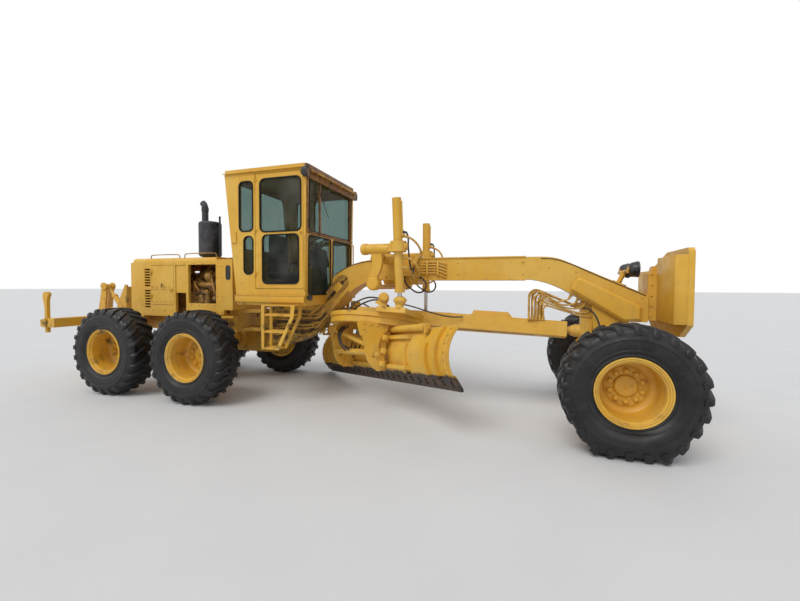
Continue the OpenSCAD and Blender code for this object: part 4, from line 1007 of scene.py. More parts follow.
def bolts(spots, name, finish, body="front_frame", pose=Matrix.Identity(4)):
    """Copies of the head at each spot: place, facing, size; pose moves them all."""
    made = []
    for i, (place, facing, size) in enumerate(spots):
        made.append(copied(HEAD, pose @ shift(place) @ TOWARDS[facing] @ turned(37 * i % 60, "Z")
                           @ Matrix.Scale(size, 4)))
    print(name, len(spots))
    return settle(made, name, finish, body)


spots = []
for side, facing in SIDES:
    y = side * HOOD_Y
    spots += [((x, y, 2.098), facing, 0.7) for x in (-2.32, -2.10, -1.90, -1.72, -1.54)]
    spots += [((x, y, z), facing, 0.7) for z in (1.29, 1.55, 1.85, 2.04) for x in (-1.425, -1.325)]
    spots += [((x, y, 1.405), facing, 0.8) for x in (-1.96, -1.80, -1.62, -1.48)]
    spots += [((x, y, 1.30), facing, 0.8) for x in (-2.80, -2.55, -2.38)]
bolts(spots, "hood_bolts", PAINT, "rear_frame")

# %% [markdown]
# On the strip beside the cab the photograph shows a long dark vent with a cut pattern. It is a
# plane with rounded corners, inset for its frame, with slats standing in it, all pressed a little
# into the panel's face. A cut through the panel would change the solid, and at this depth it would
# look the same.

# %% vent beside the cab
VENT_X, VENT_Z, VENT_SLATS = -1.205, 1.935, 8
vent_parts = []
for side in (-1, 1):
    vent = rounded_panel((0, 0), (0.090, 0.235), 0.036, 4)
    bpy.ops.mesh.inset(thickness=0.007)
    bpy.ops.mesh.extrude_region_move(TRANSFORM_OT_translate={"value": (0, 0, -0.004)})
    done(vent)
    modify(vent, "SOLIDIFY", thickness=0.004, offset=-1)
    for corner in vent.data.vertices:
        x, z, d = corner.co
        corner.co = (VENT_X + x, side * (HOOD_Y + 0.006 + d), VENT_Z + z)
    vent_parts.append(done(tidy_mesh(vent), 30))
    for k in range(VENT_SLATS):
        width = 0.060 if 0 < k < VENT_SLATS - 1 else 0.036
        z = VENT_Z + 0.025 * (k - (VENT_SLATS - 1) / 2)
        vent_parts.append(slab((width, 0.010, 0.007), (VENT_X, side * (HOOD_Y + 0.004), z), 0.002))
# The vent is painted black all over: painted shade for the depth of its cut openings.
settle(vent_parts, "cab_side_vents", BLACK, "rear_frame")
print("vent parts", len(vent_parts))

# %% [markdown]
# The side doors that are still on the hood have rusty bolt heads along their lower stiffeners and a
# worn latch. They are placed from the door's own box, so they stay with it if its size changes.

# %% hood doors: bolts and latch
for side, letter, facing in ((-1, "R", "-y"), (1, "L", "+y")):
    low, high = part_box("engine_door_" + letter)
    y = low[1] if side < 0 else high[1]
    pitch = (high[0] - low[0] - 0.12) / 4
    spots = [((low[0] + 0.06 + k * pitch, y, low[2] + up), facing, 0.55)
             for up in (0.05, 0.26, 0.30) for k in range(5)]
    bolts(spots, "engine_door_bolts_" + letter, RUSTY, "engine_door_" + letter)
    x = high[0] - 0.24
    latch = [slab((0.024, 0.012, 0.070), (x, y + side * 0.004, low[2] + 0.33), 0.004),
             slab((0.012, 0.022, 0.030), (x, y + side * 0.008, low[2] + 0.34), 0.003)]
    settle(latch, "engine_door_latch_" + letter, RUSTY, "engine_door_" + letter)

# %% [markdown]
# The open bay shows an old, oily engine that was sprayed yellow with the rest. The solids give the
# block, heads, manifold and filters; what ties them together is thin: injector lines, a coolant
# hose, wiring, a dipstick's tube, and bands round the filters. The six lines are one pipe in a loop.

# %% engine lines
lines = []
for i in range(6):
    x = -2.6 + 0.2 * i
    lines.append(pipe([(-1.73 + 0.045 * (i % 4), -0.345, 1.56), (-1.75 + 0.03 * i, -0.345, 1.66),
                       (x + 0.06, -0.30, 1.84 + 0.012 * i), (x + 0.03, -0.235, 1.86),
                       (x, -0.205, 1.80)], 0.005))
lines.append(pipe([(-1.55, -0.30, 1.50), (-1.58, -0.40, 1.58), (-1.64, -0.42, 1.78),
                   (-1.72, -0.36, 1.93), (-1.80, -0.28, 1.98)], 0.019, 8, 12))
lines.append(pipe([(-1.90, -0.42, 1.63), (-1.98, -0.44, 1.72), (-2.06, -0.40, 1.80),
                   (-2.16, -0.33, 1.76)], 0.012, 8))
lines.append(pipe([(-2.02, -0.33, 1.40), (-2.04, -0.40, 1.52), (-2.02, -0.43, 1.66),
                   (-1.97, -0.44, 1.80)], 0.007))
settle(lines, "engine_lines", IRON, "rear_frame")
wires = [pipe([(-1.50, -0.46, 1.46), (-1.60, -0.47, 1.50), (-1.70, -0.45, 1.47),
               (-1.84, -0.46, 1.53), (-1.99, -0.47, 1.46)], 0.006),
         pipe([(-1.47, -0.44, 1.95), (-1.56, -0.42, 1.84), (-1.60, -0.40, 1.70),
               (-1.56, -0.44, 1.46)], 0.009),
         pipe([(-1.48, -0.40, 1.86), (-1.62, -0.41, 1.72), (-1.78, -0.43, 1.70),
               (-1.93, -0.45, 1.60)], 0.007)]
settle(wires, "engine_wires", HOSE, "rear_frame")
BAND = [(0.0485, -0.008), (0.0515, -0.008), (0.0515, 0.008), (0.0485, 0.008)]
bands = spread(lathe(BAND, 24), [shift((x, -0.370, z)) @ turned(90, "X")
                                 for x in (-1.91, -1.79) for z in (1.43, 1.58)])
settle(bands, "filter_bands", BLACK, "rear_frame")
print("engine lines", len(lines), "wires", len(wires))

# %% [markdown]
# Through the open side only dirt and shade show behind the engine, so a plain dark shield stands over
# its block as painted shade and dirt. Below the cab, hoses and cables of many ages run along the frame,
# some still black and some painted over; a loop lays seven on each side and sorts them by their finish.

# %% shield over the engine and hoses below the cab
# The shield's dark finish is painted shade and dirt.
shield = slab((0.86, 0.012, 0.36), (-1.870, 0.010, 1.900), 0.004)
settle(shield, "engine_shield", GRIME_AND_SHADE, "rear_frame")
dark, bright = [], []
for s in (-1, 1):
    for k in range(7):
        lift = 0.055 * k
        run = pipe([(-0.640 + 0.03 * k, s * 0.176, 0.930 + lift), (-0.520, s * 0.200, 0.925 + lift),
                    (-0.340 + 0.02 * k, s * (0.205 + 0.012 * (k % 3)), 1.000 + 0.7 * lift),
                    (-0.120, s * 0.215, 0.940 + lift), (0.060 + 0.03 * k, s * 0.200, 0.960 + lift),
                    (0.190 + 0.02 * k, s * 0.178, 1.000 + lift)], 0.011 + 0.002 * (k % 2), 6, 8)
        (dark if k % 3 == 1 else bright).append(run)
settle(dark, "frame_cables", HOSE)
settle(bright, "frame_hoses", HOSE_PAINTED)
print("hoses below the cab", len(dark) + len(bright))

# %% [markdown]
# Where the blade is carried, hoses and pipes cross from the beam to the cylinders. The rigid pipes
# run in clamps along the beam's side and stop at the valve block; from there short hoses loop out
# and back to the barrels. Each is a pipe through a few points that leaves its fitting straight.
# Every hose end gets a ferrule: a lathe-made sleeve with a hexagonal nut.

# %% ferrules and hoses


def along(a, b):
    """The turn that lays the Y axis on the line from a to b."""
    return (Vector(b) - Vector(a)).normalized().to_track_quat("Y", "Z").to_matrix().to_4x4()


def ferrule(at, towards, radius):
    """A crimped sleeve on a hose's end and the nut that it screws into."""
    sleeve = lathe([(0, 0), (radius * 1.45, 0.0), (radius * 1.45, 0.018), (radius * 1.32, 0.020),
                    (radius * 1.32, 0.052), (radius * 1.1, 0.056), (0, 0.056)], 12)
    bpy.ops.mesh.primitive_cylinder_add(vertices=6, radius=radius * 1.8, depth=0.020,
                                        location=(0, 0.004, 0), rotation=(math.radians(90), 0, 0))
    nut = break_edges(alone(bpy.context.object), 0.0015)
    bpy.ops.object.transform_apply(location=True, rotation=True)
    return moved(joined([sleeve, nut]), shift(at) @ along(at, towards))


def hose_run(points, radius):
    """A hose with a ferrule at both ends."""
    return [pipe(points, radius, 7), ferrule(points[0], points[1], radius),
            ferrule(points[-1], points[-2], radius)]


near, painted = [], []
for s in (-1, 1):
    painted += hose_run([(1.796, s * 0.752, 2.392), (1.870, s * 0.750, 2.370), (1.985, s * 0.730, 2.275),
                         (2.020, s * 0.660, 2.150), (1.960, s * 0.560, 2.065),
                         (1.870, s * 0.400, 2.040), (1.802, s * 0.272, 2.030)], 0.016)
    painted += hose_run([(1.792, s * 0.750, 2.110), (1.860, s * 0.745, 2.100), (1.965, s * 0.710, 2.020),
                         (1.985, s * 0.630, 1.900), (1.920, s * 0.500, 1.850),
                         (1.850, s * 0.360, 1.890), (1.802, s * 0.272, 1.940)], 0.016)
    painted += hose_run([(1.790, s * 0.745, 1.980), (1.850, s * 0.730, 1.960), (1.900, s * 0.640, 1.880),
                         (1.880, s * 0.500, 1.800), (1.800, s * 0.360, 1.790),
                         (1.760, s * 0.262, 1.878)], 0.014)
    near += hose_run([(1.796, s * 0.756, 2.440), (1.840, s * 0.756, 2.430), (1.862, s * 0.752, 2.380),
                      (1.868, s * 0.752, 2.250), (1.880, s * 0.720, 2.050), (1.870, s * 0.600, 1.930),
                      (1.840, s * 0.400, 1.930), (1.802, s * 0.280, 1.985)], 0.012)
    near += hose_run([(1.880, s * 0.300, 1.878), (1.980, s * 0.300, 1.800), (1.990, s * 0.300, 1.700),
                      (1.900, s * 0.300, 1.640), (1.780, s * 0.290, 1.690), (1.700, s * 0.270, 1.760),
                      (1.640, s * 0.262, 1.878)], 0.012)
settle(near, "saddle_hoses", HOSE)
settle(painted, "saddle_hoses_painted", HOSE_PAINTED)
print("saddle hoses", len(near) // 3 + len(painted) // 3)

# %% [markdown]
# The drawbar is parked low and rolled about the ball at the nose. Its pose is one matrix, from the
# two angles at which the solids stand, so whatever belongs to the drawbar is laid out level first.

# %% parked pose of drawbar
NOSE_BALL = Vector((3.950, 0, 1.150))
BAR_POSE = shift(NOSE_BALL) @ turned(2.2, "Y") @ turned(-13.5, "X") @ shift(-NOSE_BALL)
LIFT_X, LIFT_Y, LIFT_TOP = 1.730, 0.75, 2.25
EYES = {letter: BAR_POSE @ Vector((LIFT_X, side * LIFT_Y, 1.280)) for letter, side in (("R", -1), ("L", 1))}
print("lift rods end at", [tuple(round(v, 3) for v in eye) for eye in EYES.values()])

# %% [markdown]
# The yoke that holds each lift cylinder is a casting: its tube ends in a turned cap, a second
# capped tube lies beside the beam, and the arm's foot carries a wide clamped boss. Below, each
# lift rod's ball sits in a two-piece socket. The right one stays on its rod; the left one is
# bolted to the drawbar, which turns about that ball. All are round, so they are spun sections.

# %% castings of the yoke and the sockets of the balls
BOSS = [(0, -0.035), (0.058, -0.035), (0.072, -0.022), (0.076, 0.0), (0.076, 0.040), (0.0, 0.040)]
SPIN = {"-x": turned(-90, "Z"), "+x": turned(90, "Z"), "-y": Matrix.Identity(4), "+y": turned(180, "Z")}
TUBE_Y, TUBE_Z = 0.52, 2.105
boss = lathe(BOSS, 32)
tube = lathe([(0, -0.14), (0.070, -0.14), (0.070, 0.14), (0, 0.14)], 32)
castings = []
for side, outward in SIDES:
    inward = "+y" if side < 0 else "-y"
    for x, y, z, facing, size in ((1.245, LIFT_Y, 2.225, "-x", 1.02), (1.300, TUBE_Y, TUBE_Z, "-x", 1.0),
                                  (1.560, TUBE_Y, TUBE_Z, "+x", 1.0), (1.390, 0.795, 1.760, outward, 1.18),
                                  (1.390, 0.705, 1.760, inward, 1.18)):
        castings.append(copied(boss, shift((x, side * y, z)) @ SPIN[facing] @ Matrix.Scale(size, 4)))
    castings.append(copied(tube, shift((1.430, side * TUBE_Y, TUBE_Z)) @ SPIN["+x"]))
discard(boss, tube)
settle(castings, "yoke_castings", PAINT)

SOCKET = [(0.0, -0.0690), (0.040, -0.0690), (0.066, -0.050), (0.078, -0.014), (0.090, -0.012),
          (0.090, 0.012), (0.080, 0.014), (0.070, 0.036), (0.056, 0.050), (0.046, 0.054),
          (0.044, 0.050), (0.0530, 0.0400), (0.0662, 0.0100), (0.0662, -0.0100), (0.0540, -0.0400),
          (0.0, -0.0668)]
for letter, body in (("R", "lift_rod_R"), ("L", "drawbar")):
    parts = [moved(lathe(SOCKET, 32), shift(EYES[letter]) @ turned(90, "X"))]
    for k in range(6):
        a = math.radians(60 * k + 30)
        spot = EYES[letter] + Vector((0.083 * math.cos(a), 0.083 * math.sin(a), 0.012))
        parts.append(copied(HEAD, shift(spot) @ Matrix.Scale(0.7, 4)))
    settle(parts, "lift_socket_" + letter, PAINT, body)
print("castings", len(castings))

# %% [markdown]
# Five rigid pipes leave the carrier on each side, drop to the beam and end there in two clamps.
# They are pipes through a few points in a loop, a step lower each time.

# %% pipes in clamps on the beam's side
BEAM_Y = 0.165
tubes = []
for side in (-1, 1):
    for k in range(5):
        z = 2.075 - 0.038 * k
        y = side * (BEAM_Y + 0.026)
        tubes.append(pipe([(1.870, side * (BEAM_Y + 0.075), z + 0.01), (1.895, side * (BEAM_Y + 0.05), z),
                           (1.950, y, z), (2.150, y, z - 0.004 * k), (2.240, y, z - 0.010 * k - 0.02),
                           (2.262, side * (BEAM_Y + 0.010), z - 0.012 * k - 0.03)], 0.011))
    for x in (1.985, 2.140):
        tubes.append(slab((0.030, 0.020, 0.215), (x, side * (BEAM_Y + 0.034), 1.995), 0.004))
settle(tubes, "beam_pipes", PAINT)
print("beam pipes", len(tubes))

# %% [markdown]
# The carrier is bolted to the beam with heads large enough to show from afar, and a turned cap
# closes each trunnion of the lift cylinders.

# %% bolts and caps at the blade's carrier
spots = []
for side, facing in SIDES:
    spots += [((x, side * 0.225, z), facing, 1.2) for x in (1.36, 1.50, 1.64, 1.78)
              for z in (1.862, 2.160)]
    spots += [((x, side * 0.300, z), facing, 0.9) for x in (1.630, 1.770)
              for z in (1.905, 1.970, 2.035)]
    spots += [((1.390 + 0.052 * math.cos(a * math.pi / 3), side * (0.750 + 0.055),
                1.760 + 0.052 * math.sin(a * math.pi / 3)), facing, 0.7) for a in range(6)]
bolts(spots, "carrier_bolts", PAINT)
CAP = [(0, -0.020), (0.030, -0.020), (0.040, -0.014), (0.042, 0.0), (0, 0.0)]
caps = spread(lathe(CAP, 24), [shift((LIFT_X + end * 0.117, side * LIFT_Y, LIFT_TOP)) @ turned(90 * end, "Z")
                               for side in (-1, 1) for end in (-1, 1)])
settle(caps, "trunnion_caps", PAINT)
print("caps", len(caps))

# %% [markdown]
# Down both sides of the gooseneck a long recess with a round end carries the hoses from the pumps
# to the valves beside the cab. Three follow its upper lip and three its lower lip, each half way
# round that end, a plate lies over the middle, and a pipe follows the neck below. The neck rises at
# 48 degrees, so one helper takes distances along and across it and gives the point beside it.

# %% hoses in the gooseneck's recess
NECK = 48  # slope of the neck in degrees
UP = Vector((math.cos(math.radians(NECK)), 0, math.sin(math.radians(NECK))))
ACROSS = Vector((-UP.z, 0, UP.x))


def neck(a, b, out):
    """A point beside the neck: a along the recess, b across it, out from the beam's middle."""
    return Vector((0.540, 0, 1.690)) + UP * a + ACROSS * b + Vector((0, out, 0))


runs, plates, recess_shades = [], [], []
for s in (-1, 1):
    deep, over = s * 0.151, s * 0.182
    for k in range(3):
        b = 0.094 - 0.027 * k
        runs.append(pipe([neck(-0.66, b * 0.6 + 0.02, over), neck(-0.34, b * 0.9, over),
                          neck(-0.16, b, s * 0.166), neck(0.0, b, deep), neck(0.13, b, deep),
                          neck(0.13 + 0.7 * b, 0.72 * b, deep), neck(0.13 + b, 0.0, deep)], 0.0115, 7))
    for k in range(3):
        b = -0.094 + 0.027 * k
        runs.append(pipe([neck(0.13 - b, -0.02, deep), neck(0.13 - 0.7 * b, 0.72 * b, deep),
                          neck(0.11, b, deep), neck(-0.06, b, deep), neck(-0.20, b, s * 0.170),
                          neck(-0.40, b * 0.9, over), neck(-0.74, b * 0.7 - 0.02, over)], 0.0115, 7))
    runs.append(pipe([neck(0.10, -0.165, s * 0.166), neck(0.07, -0.165, over), neck(-0.20, -0.160, over),
                      neck(-0.80, -0.150, over), neck(-0.92, -0.140, over)], 0.014, 7))
    # A thin dark sheet with round ends lies on the recess's floor under the hoses: painted shade in the
    # recess, with some dirt.
    bpy.ops.mesh.primitive_cube_add(size=2)
    back = alone(bpy.context.object)
    rows = [corner.co.y for corner in back.data.vertices]
    edit(back, "EDGE", lambda edge: abs(rows[edge.vertices[0]] - rows[edge.vertices[1]]) > 1)
    bpy.ops.mesh.bevel(offset=0.99, segments=8, affect="EDGES")
    recess_shades.append(moved(done(back, 40), shift(neck(0.025, 0.0, s * 0.1365)) @ turned(-NECK, "Y")
                       @ Matrix.Diagonal((0.213, 0.0012, 0.108, 1))))
    plates.append(moved(slab((0.150, 0.006, 0.105), (0, 0, 0)),
                        shift(neck(0.020, 0.004, s * 0.168)) @ turned(-NECK, "Y")))
settle(runs, "neck_hoses", HOSE_PAINTED)
settle(recess_shades, "neck_recess_shade_and_dirt", GRIME_AND_SHADE)
settle(plates, "neck_plates", PAINT)
print("neck hoses", len(runs))

# %% [markdown]
# The drawbar, circle and blade stand turned and tilted in the parked pose, so their small parts
# are laid out in the level pose, as on the drawing, and one matrix carries them to their place:
# the drawbar turns about its ball, and the circle is turned on the drawbar.

# %% parked pose of circle and blade
CIRCLE_POSE = BAR_POSE @ shift((1.200, 0, 0)) @ turned(46, "Z")
BLADE_POSE = CIRCLE_POSE @ shift((0, 0.122, 0))
R_BLADE, T_BLADE, LOW_A = 0.413, 0.022, math.radians(42)
CURVE_MID = Vector((-0.100 + R_BLADE, 0, 0.210 + 0.180 * math.cos(LOW_A) + R_BLADE * math.sin(LOW_A)))
TAIL_TOP = CURVE_MID - Vector((math.cos(LOW_A), 0, math.sin(LOW_A))) * R_BLADE
DOWN = Vector((math.sin(LOW_A), 0, -math.cos(LOW_A)))
BACK = Vector((-math.cos(LOW_A), 0, -math.sin(LOW_A)))
print("blade's middle", tuple(round(v, 3) for v in (BLADE_POSE @ TAIL_TOP)))

# %% [markdown]
# The back of the blade is where the work shows: two rows of bolts hold the cutting edge, end bits
# close the curve, ribs stiffen the ends, and a bolted strip runs up each end. The strips follow the
# curve, so each is a plane extruded in steps whose corners are then laid on the curve by their row.

# %% blade: bolts, end bits and end ribs
END_STRIPS = (-2.074, 2.086)
TOWARDS["back"] = BACK.to_track_quat("Z", "Y").to_matrix().to_4x4()
TOWARDS["front"] = (-BACK).to_track_quat("Z", "Y").to_matrix().to_4x4()
spots = []
for k in range(25):
    across = Vector((0, -2.06 + k * 4.12 / 24, 0))
    for t in (0.045, 0.090):
        spots.append((TAIL_TOP + DOWN * t + BACK * T_BLADE + across, "back", 1.25))
        spots.append((TAIL_TOP + DOWN * t - BACK * 0.020 + across, "front", 0.7))
bolts(spots, "cutting_edge_bolts", EDGE, "mouldboard", BLADE_POSE)


def curve_point(radius, angle, y):
    return Vector((CURVE_MID.x - radius * math.cos(angle), y, CURVE_MID.z + radius * math.sin(angle)))


def curve_strip(y, width, a0, a1, thick, steps=14):
    """A curved strip on the blade's back, from angle a0 to a1 below and above its middle."""
    strip = extruded_plane(steps)
    for corner in strip.data.vertices:
        angle = math.radians(a0 + (a1 - a0) * round(corner.co.z) / steps)
        radius = R_BLADE + T_BLADE - 0.001 + (thick if corner.co.y > 0 else 0)
        corner.co = curve_point(radius, angle, y + corner.co.x * width / 2)
    return done(break_edges(tidy_mesh(strip), 0.003, 2), 40)


strips = [curve_strip(y, 0.080, -42, 43, 0.014) for y in END_STRIPS]
strips += [curve_strip(y, 0.016, -40, 40, 0.055) for y in (-1.93, 1.93)]
strips += [curve_strip(y, 0.016, -38, 12, 0.045) for y in (-1.72, -1.25, 1.25, 1.72)]
for side in (-1, 1):
    low = TAIL_TOP + DOWN * 0.085 - BACK * 0.031 + Vector((0, side * 2.020, 0))
    lie = Matrix.Rotation(-(math.pi / 2 - LOW_A) + math.radians(6), 4, "Y")
    strips.append(moved(slab((0.022, 0.190, 0.190), (0, 0, 0), 0.006), shift(low) @ lie))
settle(moved(joined(strips), BLADE_POSE), "blade_ribs", PAINT_MOULD, "mouldboard")
spots = []
for y in END_STRIPS:
    for k in range(7):
        a = math.radians(-36 + 12 * k)
        out = Vector((-math.cos(a), 0, math.sin(a)))
        TOWARDS["out%d" % k] = out.to_track_quat("Z", "Y").to_matrix().to_4x4()
        spots.append((curve_point(R_BLADE + T_BLADE + 0.013, a, y), "out%d" % k, 1.1))
bolts(spots, "end_strip_bolts", PAINT_MOULD, "mouldboard", BLADE_POSE)
print("blade ribs", len(strips))

# %% [markdown]
# Around the two arms sit the pieces that let the blade slide and tip: bolted retainers on the
# slide rails, the slot's clamp and pin caps. The bolts follow the slot's arc, and one spun knob
# serves as clamp and as pin cap.

# %% circle and arms
PIN_X, PIN_Z = -0.215, 0.410
spots = []
for side, facing in SIDES:
    y = side * 0.655
    spots += [((x, y, z), facing, 1.3) for x, z in ((-0.54, 0.93), (-0.44, 0.93), (-0.34, 0.93),
                                                    (-0.24, 0.93), (-0.54, 0.86))]
    for a in range(5):
        angle = math.radians(112 + 9 * a)
        spots.append(((PIN_X + 0.205 * math.cos(angle), y, PIN_Z + 0.205 * math.sin(angle)), facing, 0.8))
bolts(spots, "arm_bolts", PAINT_BLADE, "turn_circle", CIRCLE_POSE)
KNOB = [(0, -0.030), (0.022, -0.030), (0.026, -0.026), (0.026, -0.010), (0.044, -0.008),
        (0.044, 0.010), (0, 0.010)]
CLAMP_A = math.radians(122)
places, blocks = [], []
for side, facing in SIDES:
    places.append(shift((PIN_X + 0.158 * math.cos(CLAMP_A), side * 0.668,
                         PIN_Z + 0.158 * math.sin(CLAMP_A))) @ SPIN[facing])
    places.append(shift((PIN_X, side * 0.682, PIN_Z)) @ SPIN[facing] @ Matrix.Scale(1.1, 4))
    blocks += [slab((0.070, 0.060, 0.075), (-0.225, side * 0.690, z), 0.010) for z in (0.43, 0.60, 0.78)]
fittings = spread(lathe(KNOB, 20), places) + blocks
settle(moved(joined(fittings), CIRCLE_POSE), "arm_fittings", PAINT_BLADE, "turn_circle")
print("arm fittings", len(fittings))

# %% [markdown]
# The side-shift cylinder wears a thin outer sleeve with a gland ring at each end. On the drawbar
# stand the swivel, the drive's housing and motor that turn the circle, and the clamp and gusset
# that hold the right-hand lift ball. The round ones are spun and the housing is a bevelled block.

# %% sleeve of the shift cylinder and the circle's drive
SLEEVE = [(0.036, -0.60), (0.047, -0.60), (0.050, -0.590), (0.050, -0.545), (0.0445, -0.540),
          (0.0445, 0.540), (0.050, 0.545), (0.050, 0.632), (0.044, 0.640), (0.036, 0.640),
          (0.036, -0.60)]
sleeve = moved(lathe(SLEEVE, 32), BLADE_POSE @ shift((-0.095, -1.000, 0.912)))
settle(sleeve, "shift_barrel_sleeve", PAINT, "mouldboard")
DRIVE_X, DRIVE_Y = 0.62, 0.30
cover = slab((0.34, 0.26, 0.10), (DRIVE_X, DRIVE_Y, 1.185), 0.012)
motor = lathe([(0, -0.20), (0.06, -0.20), (0.075, -0.185), (0.075, -0.02), (0.11, 0.0), (0.11, 0.05),
               (0, 0.05)], 32)
moved(motor, shift((DRIVE_X, DRIVE_Y, 1.22)) @ turned(-90, "X"))
swivel = lathe([(0, -0.14), (0.085, -0.14), (0.095, -0.125), (0.095, -0.04), (0.125, -0.03),
                (0.125, 0.03), (0, 0.03)], 32)
moved(swivel, shift((1.20, 0, 1.15)) @ turned(-90, "X"))
clamp = lathe([(0, -0.125), (0.050, -0.125), (0.062, -0.112), (0.066, -0.05), (0.072, -0.045),
               (0.072, 0.045), (0.066, 0.05), (0.062, 0.075), (0, 0.075)], 32)
moved(clamp, shift((1.490, -0.740, 1.300)) @ Matrix.Rotation(0.35, 4, "Z"))
bpy.ops.mesh.primitive_cylinder_add(vertices=3, radius=0.120, depth=0.030)
gusset = moved(alone(bpy.context.object),
               shift((1.500, -0.775, 1.235)) @ turned(90, "X") @ turned(90, "Z"))
break_edges(gusset, 0.006, 2)
drive = moved(joined([cover, motor, swivel, clamp, gusset]), BAR_POSE)
settle(drive, "circle_drive", PAINT_LOW, "drawbar")
spots = [((DRIVE_X + dx, DRIVE_Y + dy, 1.235), "+z", 1.0) for dx in (-0.14, 0.14) for dy in (-0.10, 0.10)]
for k in range(10):
    a = math.radians(36 * k)
    spots.append(((1.20 + 0.66 * math.cos(a), 0.66 * math.sin(a), 1.110), "+z", 1.3))
for x in (2.0, 2.3, 2.6, 2.9):
    y = 0.16 - (x - 2) * 0.03
    spots += [((x, -y, 1.25), "+z", 0.9), ((x, y, 1.25), "+z", 0.9)]
bolts(spots, "drawbar_bolts", PAINT_LOW, "drawbar", BAR_POSE)

# %% [markdown]
# Black hoses lie over the drawbar to the side-shift cylinder, and others hang in loops inside the
# arms. Their points are written in the level pose, where they are easy to read off.

# %% hoses on the drawbar and inside the arms


def posed_runs(pose, paths):
    """Pipes from pairs of radius and points, carried to their parked place."""
    return [pipe([pose @ Vector(p) for p in path], radius, 8) for radius, path in paths]


runs = posed_runs(BAR_POSE, (
    (0.010, [(1.50, -0.20, 1.27), (1.62, -0.32, 1.30), (1.80, -0.42, 1.27), (2.10, -0.40, 1.20),
             (2.35, -0.28, 1.18), (2.50, -0.22, 1.20)]),
    (0.012, [(1.40, -0.30, 1.26), (1.30, -0.48, 1.32), (1.18, -0.60, 1.26), (1.05, -0.70, 1.13)]),
    (0.012, [(1.44, -0.34, 1.26), (1.30, -0.55, 1.34), (1.10, -0.72, 1.24), (1.00, -0.78, 1.10)]),
    (0.012, [(1.56, 0.30, 1.26), (1.30, 0.46, 1.34), (1.00, 0.44, 1.30), (0.72, 0.32, 1.40)])))
settle(runs, "drawbar_hoses", HOSE, "drawbar")
loops = posed_runs(CIRCLE_POSE, (
    (0.012, [(-0.46, 0.35, 0.95), (-0.54, 0.30, 0.84), (-0.50, 0.22, 0.68), (-0.36, 0.20, 0.62),
             (-0.30, 0.28, 0.72)]),
    (0.012, [(-0.46, 0.25, 0.95), (-0.56, 0.20, 0.80), (-0.52, 0.12, 0.62), (-0.38, 0.08, 0.56),
             (-0.28, 0.14, 0.66)]),
    (0.012, [(-0.46, 0.12, 0.95), (-0.58, 0.08, 0.78), (-0.50, -0.02, 0.60), (-0.36, -0.06, 0.58),
             (-0.26, 0.02, 0.72)])))
settle(loops, "circle_hoses", HOSE, "turn_circle")
print("blade hoses", len(runs) + len(loops))

# %% [markdown]
# The nose carries two round work lamps on a cross tube. A lamp's bowl is in the solids; it still
# needs its glass, a dark ring, and a bright reflector with a bulb. All three are thin and round, so
# each is a spun section.

# %% lamp lenses
LAMP_X, LAMP_Y, LAMP_Z = 4.626, 0.230, 1.950
places = [shift((LAMP_X, side * LAMP_Y, LAMP_Z)) @ turned(-90, "Z") for side in (-1, 1)]
for name, finish, slot, section in (
        ("lamp_lenses", LENS, "window_glass",
         [(0, 0.026), (0.030, 0.024), (0.060, 0.017), (0.082, 0.006), (0.0845, 0.0),
          (0.081, 0.0), (0.060, 0.011), (0.030, 0.018), (0, 0.020)]),
        ("lamp_rings", BLACK, "lamp_black",
         [(0.0835, -0.006), (0.0960, -0.006), (0.0985, 0.0), (0.0985, 0.008),
          (0.0955, 0.012), (0.0860, 0.012), (0.0835, 0.008)]),
        ("lamp_bowls", CHROME, "rod_chrome",
         [(0, -0.0010), (0.012, -0.0010), (0.012, 0.012), (0.018, 0.013), (0.040, 0.0006),
          (0.079, 0.004), (0.0795, -0.0010), (0, -0.0012)])):
    settle(spread(lathe(section, 40, 30), places), name, finish)
print("lamps glazed", len(places))

# %% [markdown]
# The beam is welded from plates: small bolts follow the nose cover's edge and hold the beam's side
# plates, and a dark bead along each weld at the top edge is painted shade. The beads are thin pipes, half
# sunk.

# %% bolts and seams on the beam and nose
spots = []
for side, facing in SIDES:
    spots += [((3.990 + 0.61 * k / 4, side * 0.205, 1.640 - 0.285 * k / 4), facing, 0.6)
              for k in range(5)]
    spots += [((x, side * BEAM_Y, z), facing, 0.7) for x, z in (
        (3.30, 1.90), (3.30, 2.06), (3.62, 1.98), (3.95, 1.92), (2.42, 1.90), (2.42, 2.06),
        (4.70, 1.46), (4.70, 1.60))]
bolts(spots, "beam_bolts", PAINT)
beads = []
for side in (-1, 1):
    y = side * 0.166
    beads.append(pipe([(3.52, y, 2.106), (3.66, y, 2.098), (3.80, y, 2.060), (4.20, y, 1.876),
                       (4.74, y, 1.628)], 0.007, 8, 8))
    beads.append(pipe([(0.50, y, 1.905), (0.75, y, 2.035), (1.00, y, 2.094), (1.23, y, 2.110),
                       (1.32, y, 2.112)], 0.007, 8, 8))
# The beads are painted shade along the beam's top edges.
settle(beads, "beam_seams", GRIME_AND_SHADE)
print("beam seams", len(beads))

# %% [markdown]
# The push plate is backed by a shallow box, taller on the right, that thin plates close. Beside the
# nose lies a folded cover on each side: a six-cornered outline, thickened outwards, whose edges are
# cut off wide by a bevel, as the folds are on the real one.

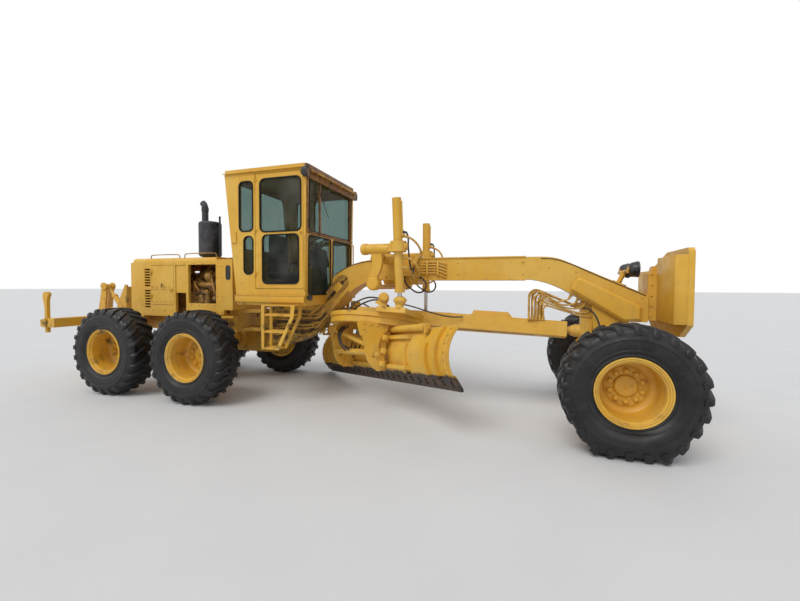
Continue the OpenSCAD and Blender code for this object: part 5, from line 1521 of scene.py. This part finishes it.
# %% push plate: box and bolts, and the covers of the nose
_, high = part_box("push_plate")
spots = [((high[0] - 0.061, y, z), "-x", 1.0) for y in (-0.62, 0.62) for z in (1.42, 1.92)]
for side, facing in SIDES:
    spots += [((4.815, side * 0.1205, z), facing, 0.9) for z in (1.37, 1.50, 1.63, 1.76, 1.89)]
bolts(spots, "push_plate_bolts", PAINT)
box_parts = []
for side, tall in ((-1, 0.760), (1, 0.620)):
    box_parts.append(slab((0.012, 0.608, tall), (4.872, side * 0.424, 1.325 + tall / 2), 0.004))
    box_parts.append(slab((0.125, 0.012, tall), (4.934, side * 0.722, 1.325 + tall / 2), 0.004))
settle(box_parts, "push_plate_box", PAINT)
COVER = ((3.878, 1.688), (3.952, 1.852), (4.012, 1.847), (4.692, 1.497), (4.692, 1.322), (4.498, 1.302))
covers = []
for side in (-1, 1):
    bpy.ops.mesh.primitive_circle_add(vertices=len(COVER), fill_type="NGON", radius=1)
    cover = alone(bpy.context.object)
    for corner, (x, z) in zip(cover.data.vertices, COVER):
        corner.co = (x, side * 0.172, z)
    tidy_mesh(cover)
    outward = cover.data.polygons[0].normal.y * side > 0
    modify(cover, "SOLIDIFY", thickness=0.060, offset=1 if outward else -1)
    covers.append(tidy_mesh(break_edges(cover, 0.034)))
settle(covers, "nose_covers", PAINT)
print("push plate and nose covered")

# %% [markdown]
# Five painted hoses come out below the nose, bend back and turn down to the drawbar's ball. They
# are one hose in a loop, each a little longer and lower than the last, with a ferrule at both ends.
# Two black hoses more reach the front axle.

# %% hoses below the nose
ends = [ferrule((3.965, y, 1.480), (3.90, y, 1.485), 0.013)
        for y in ((-0.090 + 0.040 * i) * 0.8 for i in range(5))]
settle(ends, "nose_fittings", HOSE_PAINTED)
under = []
for i in range(5):
    x = 3.90 + 0.085 * i
    z = 1.655 - (x - 3.88) * 0.597 - 0.018
    y = -0.135 + 0.010 * i
    top = 1.662 - 0.036 * i
    drop = 3.385 + 0.045 * i
    under += hose_run([(x, y, z), (x - 0.030, y, z - 0.050), (x - 0.10, y, z - 0.075),
                       (3.740 + 0.02 * i, y, 1.535 - 0.030 * i), (3.600 + 0.01 * i, y, top - 0.045),
                       (3.510 + 0.005 * i, y, top), (drop + 0.045, y, top - 0.010),
                       (drop, y, top - 0.080), (drop, y, 1.400), (drop, y, 1.290)], 0.0125)
settle(under, "nose_hoses", HOSE_PAINTED)
axle_hoses = [pipe([(4.05, side * 0.09, 1.46), (4.12, side * 0.20, 1.44), (4.20, side * 0.30, 1.30),
                    (4.22, side * 0.33, 1.12), (4.24, side * 0.30, 1.02)], 0.012, 8)
              for side in (-1, 1)]
settle(axle_hoses, "axle_hoses", HOSE)
print("nose hoses", len(ends))

# %% [markdown]
# The tandem cases show between the wheels, each with two rows of cover bolts, and the frame's
# bolted joints show above them. The plate that the photograph shows on the carrier stays blank.

# %% rear frame, tandem and plate
CASE_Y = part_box("tandem")[1][1]
spots = []
for side, facing in SIDES:
    spots += [((-2.90 + 0.20 * k, side * CASE_Y, z), facing, 1.0) for k in range(9) for z in (0.86, 0.51)]
    spots += [((x, side * 0.375, z), facing, 1.4) for x in (-3.9, -3.4, -1.6, -1.3) for z in (1.00, 1.19)]
bolts(spots, "case_bolts", PAINT_LOW, "rear_frame")
settle(slab((0.13, 0.006, 0.105), (1.70, -0.3035, 1.97)), "blank_plate", PAINT)
discard(HEAD)
